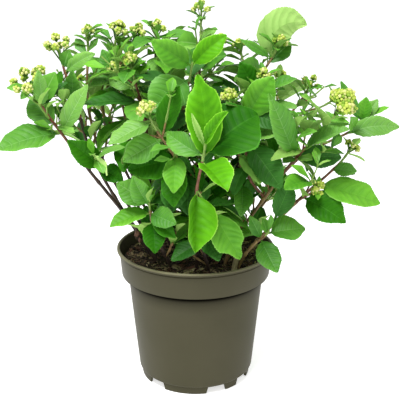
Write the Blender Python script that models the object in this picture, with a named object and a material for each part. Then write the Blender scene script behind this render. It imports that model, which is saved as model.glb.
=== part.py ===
# A young panicle hydrangea in its nursery pot, in bud, as a garden centre sells it.
#
# The pot stands on the ground plane with its axis on Z, and the camera side is -Y.
# Canes rise out of the compost and end where they enter a mass of foliage. Each mass is
# a few leafy shoots: opposite pairs of leaves, each pair turned a quarter from the last,
# and a knob of closed buds at the tip.
#
# Sizes are in millimetres in the tables, and turned to metres where shapes are made.

import math
import random
from typing import NamedTuple

import bmesh
import bpy
from mathutils import Matrix, Vector, noise
from mathutils.bvhtree import BVHTree

MM = 0.001

# Pot, millimetres
RIM_RADIUS = 95.0
POT_HEIGHT = 166.0
WALL = 1.8
LIP_HEIGHT = 7.0
LIP_WIDTH = 3.4
BAND_TOP_RADIUS = 92.0
BAND_FOOT_RADIUS = 89.8
BAND_FOOT_Z = 133.0
BODY_TOP_RADIUS = 82.3
BODY_FOOT_RADIUS = 70.0
FOOT_RING_RADIUS = 67.2
FOOT_RING_WALL = 3.0
FOOT_HEIGHT = 9.0
FLOOR_THICK = 2.0
CENTRE_PAD_RADIUS = 15.0
POT_STEPS = 36
NOTCH_ANGLES = (-116.0, -44.0, 22.0, 58.0, 118.0, 154.0, 208.0)
NOTCH_WIDTH = 21.0
NOTCH_DEPTH = 12.0
NOTCH_SPLAY = 1.25
DRAIN_COUNT = 7
DRAIN_STEPS = 12
DRAIN_RADIUS = 5.0
DRAIN_CIRCLE = 46.0
MERGE = 0.02

# Compost, millimetres
COMPOST_Z = 150.0
COMPOST_MOUND = 5.0
COMPOST_ROUGH = 2.2
LUMP_SCALE = 0.06
COMPOST_STEPS = 20
COMPOST_RINGS = 5
FOOT_TESTS = 12
GAP = 0.3

# Stems and leaves, millimetres
CANE_POINTS = 6
CANE_SIDES = 5
CANE_TIP_RADIUS = 2.0
TWIG_POINTS = 5
TWIG_SIDES = 3
TWIG_ROOT_RADIUS = 2.2
TWIG_TIP_RADIUS = 1.5
LEAF_THICK = 1.2
LEAF_ROOT_HALF = 0.5
LEAF_WIDE = 0.54
YOUNG_WIDE = 0.46
FINE_CUTS = (0.36, 0.68)
COARSE_CUTS = (0.42,)
PETIOLE_SHARE = 0.1
WIDEST_AT = 0.42
AIMED_BEND = 24.0
AIMED_FOLD = 16.0
RULED_FOLD = 14.0
RULED_BEND = 34.0
LOW_BEND = 22.0
YOUNG_FROM = 0.9
YOUNG_FOLD = 26.0
YOUNG_BEND = 20.0
LOW_SPREAD = 16.0
CLOSING_SPREAD = 34.0
FACE_ALONG = 0.75
FACE_UP = 0.55
LARGE_HEAD = 9.5
CLUSTER_SHARE = 0.6
CLEARANCE = 2.2
CANE_CLEAR = 3.2
POT_CLEAR = 2.0
HEAD_CLEAR = 1.0
DEPTH_STEPS = (0, -8, 8, -16, 16, -24, 24)

# Side twigs, millimetres, degrees and shares
SIDE_SEED = 4
SIDE_CHANCE = 0.68
SIDE_JITTER = 20.0
SIDE_NODES = (0.5, 0.95)
SIDE_REACH = (26.0, 50.0)
SIDE_ANGLE = 42.0
SIDE_SPREAD = 56.0
SIDE_LEAF = 0.8
SIDE_ROOT_RADIUS = 1.5
SIDE_TIP_RADIUS = 1.1
SIDE_POINTS = 3

# The space that leaves and side twigs keep to, millimetres: a cone under a dome
CONE_FOOT_Z = 178.0
CONE_FOOT_RADIUS = 66.0
CONE_SLOPE = 0.95
DOME_Z = 285.0
DOME_RADIUS = 192.0
DOME_HEIGHT = 150.0
CROWN_DEPTH_SHARE = 0.95
CLEAR_FRONT_Y = -76.0
CLEAR_FRONT_X = (-20.0, 76.0)

# Colours as linear red, green and blue, each with its roughness
POT_PAINT = ((0.105, 0.095, 0.07), 0.45)
COMPOST_PAINT = ((0.035, 0.022, 0.014), 0.9)
CANE_PAINT = ((0.05, 0.03, 0.02), 0.6)
LEAF_PAINT = ((0.1, 0.35, 0.05), 0.5)

DOWN = Vector((0.0, 0.0, -1.0))
UP = Vector((0.0, 0.0, 1.0))
RIGHT = Vector((1.0, 0.0, 0.0))


class Cane(NamedTuple):
    """One woody stem: where it leaves the compost, where it enters its foliage, how far
    its middle bows outwards, and its radius at the foot."""

    name: str
    foot: tuple
    head: tuple
    bow: float
    radius: float


class Shoot(NamedTuple):
    """One leafy shoot. It springs from a cane at a share of the cane's length: those of a
    cane's end are one mass, and any other is a mass of its own. Its nodes are shares of
    its own length, each with a pair of leaves. Its head is the radius of its bud
    cluster, and sides is the chance of a side twig at a node."""

    name: str
    cane: str
    at: float
    tip: tuple
    leaf: float
    nodes: tuple
    roll: float
    spread: float
    head: float
    sides: float = SIDE_CHANCE


class Aim(NamedTuple):
    """Where a leaf of the front points: its tip, its width and the way its face looks."""

    tip: tuple
    wide: float
    face: Vector


CANES = (
    Cane("hero", (2, -45), (1, -84, 246), 4, 2.6),
    Cane("far_left", (-46, -22), (-141, -30, 297), 2, 2.7),
    Cane("left", (-52, -6), (-133, 0, 322), 14, 2.6),
    Cane("left_inner", (-46, 8), (-121, 14, 306), 12, 2.3),
    Cane("mid_left", (-30, 26), (-112, 60, 306), 6, 2.2),
    Cane("inner_left", (-58, 14), (-82, 30, 300), 6, 2.2),
    Cane("fore_left", (-38, -6), (-56, -8, 304), 6, 2.4),
    Cane("rear_left", (-26, 18), (-50, 45, 322), 4, 2.3),
    Cane("centre", (14, -28), (-8, -52, 262), -6, 2.5),
    Cane("bright", (-10, -10), (-16, -10, 312), 2, 2.6),
    Cane("top", (-2, 18), (4, 48, 338), 2, 2.4),
    Cane("middle", (40, -14), (53, -32, 240), 4, 2.1),
    Cane("right", (34, -32), (100, -40, 268), -2, 2.7),
    Cane("right_low", (48, -44), (114, -46, 234), -2, 2.4),
    Cane("right_rear", (34, 18), (104, 42, 298), 6, 2.3),
    Cane("high_right", (18, 12), (66, 32, 338), 8, 2.4),
    Cane("low_left", (-28, -46), (-46, -64, 210), 2, 1.9),
    Cane("low_front", (16, -56), (8, -68, 186), 0, 1.8),
    Cane("back_left", (-40, 34), (-108, 86, 280), 8, 2.4),
    Cane("back", (-10, 44), (-30, 128, 292), 8, 2.4),
    Cane("back_right", (30, 38), (96, 104, 280), 8, 2.4),
)

SHOOTS = (
    Shoot("hero", "hero", 1.0, (11, -112, 318), 80, (0.22, 0.7, 0.8, 0.95), 90, 66, 0, 0.0),
    Shoot("far_left", "far_left", 1.0, (-182, -30, 366), 66, (0.2, 0.32, 0.65), 0, 74, 13),
    Shoot("centre", "centre", 1.0, (-51, -80, 347), 60, (0.14, 0.28, 0.62, 0.84), 10, 76, 11),
    Shoot("right", "right", 1.0, (160, -50, 348), 66, (0.2, 0.32, 0.66, 0.86), 20, 60, 17),
    Shoot("bright", "bright", 1.0, (-3, -36, 390), 62, (0.25, 0.5, 0.76, 0.95), 80, 60, 0, 0.0),
    Shoot("red", "right", 0.72, (57, -40, 345), 58, (0.38, 0.62, 0.84, 0.97), 60, 66, 0),
    Shoot("middle", "middle", 1.0, (37, -50, 356), 60, (0.1, 0.42, 0.64, 0.84), 30, 70, 10),
    Shoot("fore_left", "fore_left", 1.0, (-72, -20, 391), 58, (0.16, 0.44, 0.66, 0.88), 0, 74, 10),
    Shoot("low_left", "low_left", 1.0, (-50, -78, 244), 48, (0.3, 0.6, 0.9), 20, 78, 0, 0.0),
    Shoot("low_front", "low_front", 1.0, (8, -84, 214), 50, (0.4, 0.85), 40, 84, 0, 0.0),
    Shoot("right_low", "right_low", 1.0, (136, -52, 252), 58, (0.35, 0.75), 0, 80, 9),
    Shoot("right_side", "right_low", 1.0, (181, -10, 290), 52, (0.34, 0.6, 0.85), 40, 60, 8, 0.0),
    Shoot("right_rim", "right_low", 0.42, (82, -74, 210), 50, (0.4, 0.85), 40, 84, 0, 0.0),
    Shoot("left", "left", 1.0, (-156, 8, 403), 50, (0.14, 0.4, 0.64, 0.86), 20, 62, 12),
    Shoot("left_inner", "left_inner", 1.0, (-124, 30, 416), 48, (0.15, 0.4, 0.64, 0.86), 60, 60, 8),
    Shoot("left_side", "left_inner", 0.66, (-112, -48, 290), 42, (0.6, 0.9), 30, 80, 0, 0.0),
    Shoot("mid_left", "mid_left", 1.0, (-91, 48, 418), 54, (0.15, 0.5, 0.82), 0, 60, 9),
    Shoot("mid_left_rear", "mid_left", 1.0, (-70, 66, 414), 48, (0.35, 0.6, 0.84), 60, 55, 9),
    Shoot("inner_left", "inner_left", 1.0, (-92, 0, 378), 54, (0.15, 0.4, 0.64, 0.86), 45, 66, 8),
    Shoot("rear_left", "rear_left", 1.0, (-46, 72, 417), 54, (0.12, 0.4, 0.68, 0.88), 20, 60, 9),
    Shoot("top", "top", 1.0, (7, 60, 440), 46, (0.12, 0.42, 0.7, 0.88), 0, 55, 9),
    Shoot("upper_right", "high_right", 0.8, (77, -2, 371), 52, (0.4, 0.7, 0.9), 20, 60, 10),
    Shoot("right_tip", "right", 1.0, (200, 4, 322), 50, (0.4, 0.72, 0.92), 30, 62, 0, 0.0),
    Shoot("right_rear", "right_rear", 1.0, (140, 60, 352), 36, (0.15, 0.5, 0.82), 20, 62, 9),
    Shoot("high_right", "high_right", 1.0, (99, 40, 404), 50, (0.2, 0.45, 0.72, 0.88), 10, 55, 10),
    Shoot("high_middle", "high_right", 1.0, (52, 52, 398), 52, (0.35, 0.6, 0.84), 40, 60, 8),
    Shoot("inner_right", "middle", 0.5, (92, -6, 240), 60, (0.35, 0.65, 0.9), 10, 70, 0),
    Shoot("heart", "bright", 0.6, (6, 2, 288), 60, (0.3, 0.6, 0.9), 10, 74, 0),
    Shoot("heart_low", "top", 0.34, (26, -8, 240), 58, (0.5, 0.9), 40, 74, 0),
    Shoot("heart_left", "rear_left", 0.42, (-30, -24, 252), 54, (0.5, 0.9), 20, 74, 0),
    Shoot("back_left", "back_left", 1.0, (-150, 110, 348), 64, (0.15, 0.5, 0.84), 15, 66, 10),
    Shoot("back_left_rear", "back_left", 1.0, (-96, 160, 344), 64, (0.2, 0.55, 0.84), 60, 66, 10),
    Shoot("back", "back", 1.0, (-28, 190, 352), 64, (0.15, 0.5, 0.84), 0, 66, 10),
    Shoot("back_high", "back", 1.0, (30, 140, 396), 60, (0.15, 0.5, 0.84), 40, 60, 10),
    Shoot("back_right", "back_right", 1.0, (112, 160, 348), 64, (0.15, 0.5, 0.84), 30, 66, 10),
    Shoot("back_right_side", "back_right", 1.0, (178, 96, 328), 62, (0.2, 0.55, 0.84), 0, 66, 10),
    Shoot("back_low", "back", 0.45, (-40, 104, 246), 58, (0.35, 0.8), 30, 70, 0),
    Shoot("back_low_right", "back_right", 0.45, (64, 104, 246), 58, (0.35, 0.8), 60, 70, 0),
)

# The ways that a leaf's upper face looks
FRONT = Vector((0.0, -0.9, 0.45))
SKY = Vector((0.0, -0.4, 0.9))
AWAY = Vector((0.1, 0.75, 0.6))
LEFT = Vector((-0.6, -0.75, 0.3))

# Leaves of the front, by shoot, node and side. The others follow the rule.
AIMS = {
    ("hero", 0, 0): Aim((0, -122, 202), 40, FRONT),
    ("hero", 0, 1): Aim((49, -105, 189), 40, FRONT),
    ("hero", 1, 0): Aim((3, -90, 385), 40, FRONT),
    ("hero", 1, 1): Aim((32, -160, 281), 38, SKY),
    ("hero", 2, 0): Aim((66, -84, 342), 48, FRONT),
    ("hero", 2, 1): Aim((-30, -78, 322), 24, FRONT),
    ("hero", 3, 0): Aim((30, -126, 350), 24, LEFT),
    ("hero", 3, 1): Aim((2, -116, 338), 12, FRONT),
    ("far_left", 0, 0): Aim((-215, -62, 298), 40, SKY),
    ("far_left", 0, 1): Aim((-116, -46, 368), 22, FRONT),
    ("far_left", 1, 0): Aim((-188, -6, 346), 30, FRONT),
    ("far_left", 1, 1): Aim((-129, -40, 315), 14, SKY),
    ("far_left", 2, 0): Aim((-168, -50, 384), 16, FRONT),
    ("far_left", 2, 1): Aim((-142, -20, 366), 18, SKY),
    ("left", 0, 0): Aim((-136, -20, 380), 20, FRONT),
    ("left", 2, 0): Aim((-112, -6, 396), 18, FRONT),
    ("left_side", 0, 0): Aim((-140, -54, 308), 27, FRONT),
    ("left_side", 0, 1): Aim((-80, -56, 262), 22, FRONT),
    ("left_side", 1, 0): Aim((-76, -62, 302), 18, SKY),
    ("fore_left", 1, 0): Aim((-122, -38, 344), 28, SKY),
    ("fore_left", 2, 0): Aim((-98, 0, 372), 24, FRONT),
    ("centre", 0, 0): Aim((-8, -88, 230), 32, FRONT),
    ("centre", 1, 0): Aim((-72, -80, 280), 36, FRONT),
    ("centre", 2, 0): Aim((-76, -92, 294), 30, FRONT),
    ("centre", 2, 1): Aim((-16, -68, 370), 24, FRONT),
    ("centre", 3, 0): Aim((-90, -96, 312), 30, SKY),
    ("bright", 2, 0): Aim((-48, -62, 340), 44, FRONT),
    ("bright", 3, 0): Aim((-46, -56, 416), 28, FRONT),
    ("bright", 3, 1): Aim((34, -40, 420), 23, FRONT),
    ("red", 1, 0): Aim((96, -60, 318), 24, SKY),
    ("red", 1, 1): Aim((94, -72, 258), 34, FRONT),
    ("red", 2, 0): Aim((84, -56, 378), 34, FRONT),
    ("red", 2, 1): Aim((32, -72, 354), 20, SKY),
    ("red", 3, 0): Aim((97, -56, 322), 26, FRONT),
    ("middle", 0, 0): Aim((50, -72, 226), 22, FRONT),
    ("low_left", 0, 0): Aim((-58, -94, 192), 28, FRONT),
    ("low_left", 1, 0): Aim((-92, -92, 220), 26, SKY),
    ("low_left", 1, 1): Aim((-20, -95, 225), 24, FRONT),
    ("low_left", 2, 0): Aim((-66, -82, 278), 22, FRONT),
    ("low_front", 0, 0): Aim((-26, -88, 180), 24, SKY),
    ("low_front", 1, 0): Aim((26, -104, 186), 26, SKY),
    ("right", 0, 0): Aim((77, -64, 364), 32, FRONT),
    ("right", 0, 1): Aim((166, -30, 282), 27, FRONT),
    ("right", 1, 0): Aim((154, -66, 320), 24, SKY),
    ("right", 1, 1): Aim((82, -72, 290), 18, SKY),
    ("right_tip", 1, 0): Aim((234, -12, 309), 28, FRONT),
    ("right_tip", 2, 0): Aim((196, 0, 346), 16, FRONT),
    ("right_tip", 2, 1): Aim((211, 8, 342), 17, FRONT),
    ("right_side", 0, 0): Aim((206, -62, 238), 40, SKY),
    ("right_side", 1, 0): Aim((183, -36, 268), 17, FRONT),
    ("right_low", 0, 0): Aim((160, -80, 214), 30, FRONT),
    ("right_rim", 0, 0): Aim((91, -93, 168), 27, FRONT),
    ("right_rim", 1, 0): Aim((121, -74, 206), 28, SKY),
    ("right_rim", 1, 1): Aim((106, -60, 264), 24, FRONT),
    ("upper_right", 1, 0): Aim((114, -16, 370), 26, SKY),
    ("upper_right", 1, 1): Aim((50, 0, 386), 26, FRONT),
    ("upper_right", 0, 0): Aim((113, -32, 340), 28, SKY),
    ("high_right", 2, 0): Aim((110, 46, 438), 56, AWAY),
    ("high_right", 2, 1): Aim((52, 30, 408), 16, FRONT),
    ("high_right", 3, 0): Aim((107, 8, 410), 18, SKY),
    ("inner_left", 3, 0): Aim((-106, 10, 399), 20, FRONT),
    ("inner_left", 3, 1): Aim((-117, -31, 361), 22, SKY),
    ("rear_left", 2, 0): Aim((-34, 20, 358), 28, FRONT),
    ("rear_left", 3, 0): Aim((-73, 40, 396), 21, SKY),
    ("rear_left", 3, 1): Aim((-3, 50, 410), 21, SKY),
}

# Ways that a leaf may turn aside to find its own room: round the shoot, up or down, size
ASIDE = (
    (0, 0, 1.0),
    (12, 0, 1.0),
    (-12, 0, 1.0),
    (0, 12, 1.0),
    (0, -12, 1.0),
    (24, 6, 0.95),
    (-24, 6, 0.95),
    (12, -20, 0.9),
    (-12, 20, 0.9),
    (36, 0, 0.85),
    (-36, 0, 0.85),
    (0, 26, 0.8),
    (20, -26, 0.75),
    (-20, -26, 0.7),
)


class Leaf(NamedTuple):
    """A leaf from its root on the shoot: the way it sets off, the way its upper face
    looks, its length and width, how far it bends down and how sharply it folds, in
    millimetres and degrees, and whether it is one of the front's leaves."""

    root: Vector
    ahead: Vector
    up: Vector
    length: float
    wide: float
    bend: float
    fold: float
    seen: bool


def half_width(share):
    """Half the blade's width over its greatest half width, at a share of the leaf."""
    blade = max(0.0, (share - PETIOLE_SHARE) / (1.0 - PETIOLE_SHARE))
    peak = WIDEST_AT**0.72 * (1.0 - WIDEST_AT)
    return blade**0.72 * (1.0 - blade) / peak


def leaf_place(leaf, along, half, across, through):
    """Where a point of a leaf lies. along runs from 0 at the root to 1 at the tip, half
    is the half width there, across runs from -1 to 1 and through is the height over the
    middle of the blade's thickness."""
    bend = math.radians(max(leaf.bend, 0.5))
    turned = bend * along
    spine = leaf.root + leaf.ahead * (leaf.length * math.sin(turned) / bend)
    spine = spine - leaf.up * (leaf.length * (1.0 - math.cos(turned)) / bend)
    face = leaf.up * math.cos(turned) + leaf.ahead * math.sin(turned)
    side = leaf.ahead.cross(leaf.up)
    fold = math.radians(leaf.fold)
    return (
        spine
        + side * (across * half * math.cos(fold))
        + face * (abs(across) * half * math.sin(fold) + through)
    )


def curve_points(start, start_way, end, end_way, count):
    """Points along a cubic curve that sets off and arrives the given ways."""
    points = []
    for i in range(count):
        t = i / (count - 1)
        s = 1.0 - t
        points.append(
            start * s**3
            + (start + start_way) * (3 * s * s * t)
            + (end - end_way) * (3 * s * t * t)
            + end * t**3
        )
    return points


def cane_line(cane, foot_z):
    """Points of a cane, from a short upright foot to its head."""
    foot = Vector((*cane.foot, foot_z))
    head = Vector(cane.head)
    run = head - foot
    outward = Vector((run.x, run.y, 0.0))
    outward = outward.normalized() if outward.length > 1.0 else RIGHT
    start_way = run * 0.16 + UP * run.length * 0.1 + outward * cane.bow
    end_way = run * 0.33 - outward * cane.bow * 1.4
    return curve_points(foot, start_way, head, end_way, CANE_POINTS)


def point_on(line, share):
    """The point of a line at a share of its length, and the line's direction there."""
    lengths = [(b - a).length for a, b in zip(line, line[1:])]
    left = share * sum(lengths)
    for a, b, length in zip(line, line[1:], lengths):
        if left <= length or b is line[-1]:
            return a.lerp(b, min(1.0, left / length)), (b - a).normalized()
        left -= length
    return line[-1], (line[-1] - line[-2]).normalized()


def tube_tree(line, radius, sides=4):
    """A tree of the triangles round a line, for finding what it would touch."""
    points = []
    faces = []
    for i, p in enumerate(line):
        way = (line[min(i + 1, len(line) - 1)] - line[max(i - 1, 0)]).normalized()
        one = way.orthogonal().normalized()
        two = way.cross(one)
        for k in range(sides):
            a = 2 * math.pi * k / sides
            points.append(p + one * (radius * math.cos(a)) + two * (radius * math.sin(a)))
    for i in range(len(line) - 1):
        for k in range(sides):
            a = i * sides + k
            b = i * sides + (k + 1) % sides
            faces.append((a, b, b + sides, a + sides))
    return BVHTree.FromPolygons(points, faces)


def leaf_cuts(leaf):
    """The shares of a leaf's length where its solid has a section."""
    return FINE_CUTS if leaf.seen else COARSE_CUTS


def leaf_tree(leaf, stations):
    """A tree of a stretch of a leaf, a little swollen, for finding what it would touch."""
    points = []
    for along in stations:
        half = half_width(along) * leaf.wide / 2 + CLEARANCE / 2
        for across, through in ((-1, 0), (0, 1), (1, 0), (0, -1)):
            points.append(leaf_place(leaf, along, half, across, through * CLEARANCE / 2))
    faces = []
    for i in range(len(stations) - 1):
        for k in range(4):
            a = i * 4 + k
            b = i * 4 + (k + 1) % 4
            faces.append((a, b, b + 4, a + 4))
    return BVHTree.FromPolygons(points, faces)


def ball_tree(middle, radius):
    """A tree of a rough ball."""
    made = bmesh.new()
    bmesh.ops.create_icosphere(made, subdivisions=1, radius=radius)
    bmesh.ops.translate(made, verts=made.verts, vec=middle)
    tree = BVHTree.FromBMesh(made)
    made.free()
    return tree


def foot_way(shoot, cane_points):
    """The direction in which a shoot leaves its cane: onward from its end, or square to
    its side."""
    root, way = point_on(cane_points, shoot.at)
    if shoot.at >= 1.0:
        return way
    aside = (Vector(shoot.tip) - root).normalized()
    return (aside - way * aside.dot(way)).normalized()


def shoot_line(shoot, cane, cane_points):
    """Points of a shoot, from its root on the cane to its tip."""
    root, _ = point_on(cane_points, shoot.at)
    tip = Vector(shoot.tip)
    leave = foot_way(shoot, cane_points)
    clear = GAP
    if shoot.at < 1.0:
        clear += cane.radius + (CANE_TIP_RADIUS - cane.radius) * shoot.at
    start = root + leave * clear
    reach = (tip - start).length
    end_way = (tip - start).normalized() * 0.6 + UP * 0.4
    return curve_points(start, leave * reach * 0.34, tip, end_way * reach * 0.3, TWIG_POINTS)


def leaf_size(share):
    """The share of the shoot's leaf length that a pair has: less near the shoot's tip."""
    return 1.0 - 0.5 * max(0.0, (share - 0.5) / 0.5) ** 1.5


def aimed_leaf(root, aim):
    """A leaf that reaches from its root to the tip it aims at."""
    chord = Vector(aim.tip) - root
    bend = math.radians(AIMED_BEND)
    way = chord.normalized()
    up = (aim.face - way * aim.face.dot(way)).normalized()
    ahead = (way * math.cos(bend / 2) + up * math.sin(bend / 2)).normalized()
    up = (up - ahead * up.dot(ahead)).normalized()
    length = chord.length * (bend / 2) / math.sin(bend / 2)
    return Leaf(root, ahead, up, length, aim.wide, AIMED_BEND, AIMED_FOLD, True)


def around_node(line, share, roll):
    """A node's place, the stem's direction there, and the direction out to one side."""
    root, way = point_on(line, share)
    across = (RIGHT - way * RIGHT.dot(way)).normalized()
    return root, way, Matrix.Rotation(math.radians(roll), 3, way) @ across


def ruled_leaf(line, share, roll, spread, size, aside):
    """A leaf of a stem at a share of its length, turned aside by one of the ways."""
    turn, lift, less = aside
    root, way, out = around_node(line, share, roll + turn)
    opened = math.radians(spread + LOW_SPREAD - CLOSING_SPREAD * share + lift)
    ahead = (way * math.cos(opened) + out * math.sin(opened)).normalized()
    face = way * FACE_ALONG + UP * FACE_UP
    up = (face - ahead * face.dot(ahead)).normalized()
    length = size * leaf_size(share) * less
    if share > YOUNG_FROM:
        return Leaf(root, ahead, up, length, length * YOUNG_WIDE, YOUNG_BEND, YOUNG_FOLD, False)
    bend = RULED_BEND + LOW_BEND * (1.0 - share)
    return Leaf(root, ahead, up, length, length * LEAF_WIDE, bend, RULED_FOLD, False)


def side_line(line, share, roll, reach):
    """Points of a side twig that leaves a stem at a node and turns up with it."""
    root, way, out = around_node(line, share, roll)
    opened = math.radians(SIDE_ANGLE)
    ahead = way * math.cos(opened) + out * math.sin(opened)
    tip = root + ahead * reach + UP * reach * 0.12
    end_way = (ahead + UP * 0.5).normalized() * reach * 0.3
    return curve_points(root, ahead * reach * 0.35, tip, end_way, SIDE_POINTS)


class Room(NamedTuple):
    """Space that something takes: a ball round it, a tree of its surface and the name
    of the shoot that it belongs to."""

    middle: Vector
    reach: float
    tree: BVHTree
    owner: str


def touches(one, other):
    near = (one.middle - other.middle).length < one.reach + other.reach
    return near and other.tree.overlap(one.tree)


def inside_crown(place):
    """True inside the cone and dome, and not in front of the foremost shoot's leaves."""
    low, high = CLEAR_FRONT_X
    if place.y < CLEAR_FRONT_Y and low < place.x < high:
        return False
    out = math.hypot(place.x, place.y / CROWN_DEPTH_SHARE)
    over = max(0.0, place.z - DOME_Z) / DOME_HEIGHT
    in_cone = out < CONE_FOOT_RADIUS + CONE_SLOPE * (place.z - CONE_FOOT_Z)
    return in_cone and (out / DOME_RADIUS) ** 3 + over**3 < 1.0


def leaf_room(leaf, stations, owner):
    middle = leaf_place(leaf, 0.5, 0.0, 0.0, 0.0)
    return Room(middle, leaf.length * 0.55, leaf_tree(leaf, stations), owner)


def stem_rooms(line, radius, owner):
    """The room of each stretch of a line."""
    return [
        Room((a + b) / 2, (b - a).length / 2 + radius, tube_tree([a, b], radius), owner)
        for a, b in zip(line, line[1:])
    ]


def first_that_fits(leaves, owner, rooms):
    """The first of some leaves that keeps to the crown's space and touches nothing. It
    then takes its room. A leaf's foot may touch its own shoot, and so may the whole of
    a leaf of the front."""
    for leaf in leaves:
        if leaf.seen or inside_crown(leaf_place(leaf, 1.0, 0.0, 0.0, 0.0)):
            cuts = leaf_cuts(leaf)
            blade = leaf_room(leaf, (PETIOLE_SHARE, *cuts, 1.0), owner)
            stalk = leaf_room(leaf, (0.0, cuts[0]), owner)
            others = [room for room in rooms if room.owner != owner]
            blocked = any(touches(blade, room) for room in (others if leaf.seen else rooms))
            if not blocked and not any(touches(stalk, room) for room in others):
                rooms.append(blade)
                return [leaf]
    return []


def ruled_pair(line, share, roll, spread, size, sides, owner, rooms):
    """The leaves of one node, each where it finds room."""
    found = []
    for side in sides:
        tries = [ruled_leaf(line, share, roll + 180.0 * side, spread, size, aside) for aside in ASIDE]
        found += first_that_fits(tries, owner, rooms)
    return found


def side_twig(shoot, line, share, roll, chance, rooms):
    """A side twig's line and leaves, or None where it would leave the crown, touch
    something or stay bare."""
    side = side_line(line, share, roll, chance.uniform(*SIDE_REACH))
    wanted = chance.random() < shoot.sides and inside_crown(side[-1])
    first, *rest = stem_rooms(side, SIDE_ROOT_RADIUS + GAP, shoot.name)
    others = [room for room in rooms if room.owner != shoot.name]
    if not wanted or any(touches(first, room) for room in others):
        return None
    if any(touches(stretch, room) for stretch in rest for room in rooms):
        return None
    rooms += [first, *rest]
    small = shoot.leaf * SIDE_LEAF
    leaves = []
    for k, place in enumerate(SIDE_NODES):
        leaves += ruled_pair(
            side, place, roll + 90.0 * k, SIDE_SPREAD, small, (0, 1), shoot.name, rooms
        )
    if leaves:
        return side, leaves
    del rooms[-1 - len(rest):]
    return None


def grow(cane_lines, rooms):
    """Every shoot's stems and leaves, as lists by the shoot's name. Main stems and heads
    are placed first and then the leaves of the front. The rest fill the room that is
    left: leaves in pairs, and side twigs from some of the nodes."""
    chance = random.Random(SIDE_SEED)
    for line in cane_lines.values():
        rooms += stem_rooms(line, CANE_CLEAR, "")
    canes = {cane.name: cane for cane in CANES}
    lines = {s.name: shoot_line(s, canes[s.cane], cane_lines[s.cane]) for s in SHOOTS}
    for shoot in SHOOTS:
        rooms += stem_rooms(lines[shoot.name], TWIG_ROOT_RADIUS + GAP, shoot.name)
        if shoot.head:
            place = Vector(shoot.tip)
            reach = shoot.head + HEAD_CLEAR
            rooms.append(Room(place, reach, ball_tree(place, reach), shoot.name))
    stems = {name: [line] for name, line in lines.items()}
    leaves = {name: [] for name in lines}
    nodes = {shoot.name: shoot.nodes for shoot in SHOOTS}
    for (name, index, _), aim in AIMS.items():
        root, _ = point_on(lines[name], nodes[name][index])
        tips = [(aim.tip[0], aim.tip[1] + step, aim.tip[2]) for step in DEPTH_STEPS]
        tries = [aimed_leaf(root, aim._replace(tip=tip)) for tip in tips]
        leaves[name] += first_that_fits(tries, name, rooms)
    for shoot in SHOOTS:
        for index, share in enumerate(shoot.nodes):
            sides = [side for side in (0, 1) if (shoot.name, index, side) not in AIMS]
            roll = shoot.roll + 90.0 * index
            leaves[shoot.name] += ruled_pair(
                lines[shoot.name], share, roll, shoot.spread, shoot.leaf, sides, shoot.name, rooms
            )
    for shoot in SHOOTS:
        for index, share in enumerate(shoot.nodes[:-1]):
            for side in (0, 1):
                jitter = chance.uniform(-SIDE_JITTER, SIDE_JITTER)
                roll = shoot.roll + 90.0 * index + 180.0 * side + jitter
                twig = side_twig(shoot, lines[shoot.name], share, roll, chance, rooms)
                if twig:
                    stems[shoot.name].append(twig[0])
                    leaves[shoot.name] += twig[1]
    return stems, leaves


def shaped(name, made):
    """An object for a bmesh in millimetres."""
    bmesh.ops.recalc_face_normals(made, faces=made.faces)
    bmesh.ops.scale(made, verts=made.verts, vec=(MM, MM, MM))
    mesh = bpy.data.meshes.new(name)
    made.to_mesh(mesh)
    made.free()
    solid = bpy.data.objects.new(name, mesh)
    bpy.context.scene.collection.objects.link(solid)
    return solid


def painted(made, paint):
    """Gives an object its own material of a colour and a roughness."""
    colour, rough = paint
    coat = bpy.data.materials.new(made.name)
    coat.use_nodes = True
    shader = coat.node_tree.nodes["Principled BSDF"]
    shader.inputs["Base Color"].default_value = (*colour, 1.0)
    shader.inputs["Roughness"].default_value = rough
    shader.inputs["Metallic"].default_value = 0.0
    made.data.materials.clear()
    made.data.materials.append(coat)
    return made


def applied(made):
    """Turns an object into the mesh that its modifiers give."""
    graph = bpy.context.evaluated_depsgraph_get()
    mesh = bpy.data.meshes.new_from_object(made.evaluated_get(graph))
    made.modifiers.clear()
    made.data = mesh
    return made


def drop_idle_points(mesh):
    """Removes the points that lie along an edge and turn nothing."""
    made = bmesh.new()
    made.from_mesh(mesh)
    idle = [vert for vert in made.verts if len(vert.link_edges) == 2]
    bmesh.ops.dissolve_verts(made, verts=idle)
    made.to_mesh(mesh)
    made.free()


def boolean(made, parts, operation, solver):
    """Joins a collection of parts to an object, or cuts them from it, and removes them."""
    group = bpy.data.collections.new("parts")
    bpy.context.scene.collection.children.link(group)
    for part in parts:
        for home in list(part.users_collection):
            home.objects.unlink(part)
        group.objects.link(part)
    join = made.modifiers.new("join", "BOOLEAN")
    join.operation = operation
    join.operand_type = "COLLECTION"
    join.collection = group
    join.solver = solver
    bpy.context.view_layer.update()
    applied(made)
    drop_idle_points(made.data)
    for part in list(group.objects):
        bpy.data.objects.remove(part)
    bpy.data.collections.remove(group)
    return made


def turned(name, profile, steps):
    """An object turned round Z from a profile of (radius, height) in millimetres."""
    made = bmesh.new()
    ring = [made.verts.new((r, 0.0, z)) for r, z in profile]
    edges = [made.edges.new(pair) for pair in zip(ring, ring[1:])]
    bmesh.ops.spin(
        made,
        geom=ring + edges,
        cent=(0, 0, 0),
        axis=(0, 0, 1),
        angle=2 * math.pi,
        steps=steps,
        use_merge=True,
    )
    bmesh.ops.remove_doubles(made, verts=made.verts, dist=MERGE)
    return shaped(name, made)


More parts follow.
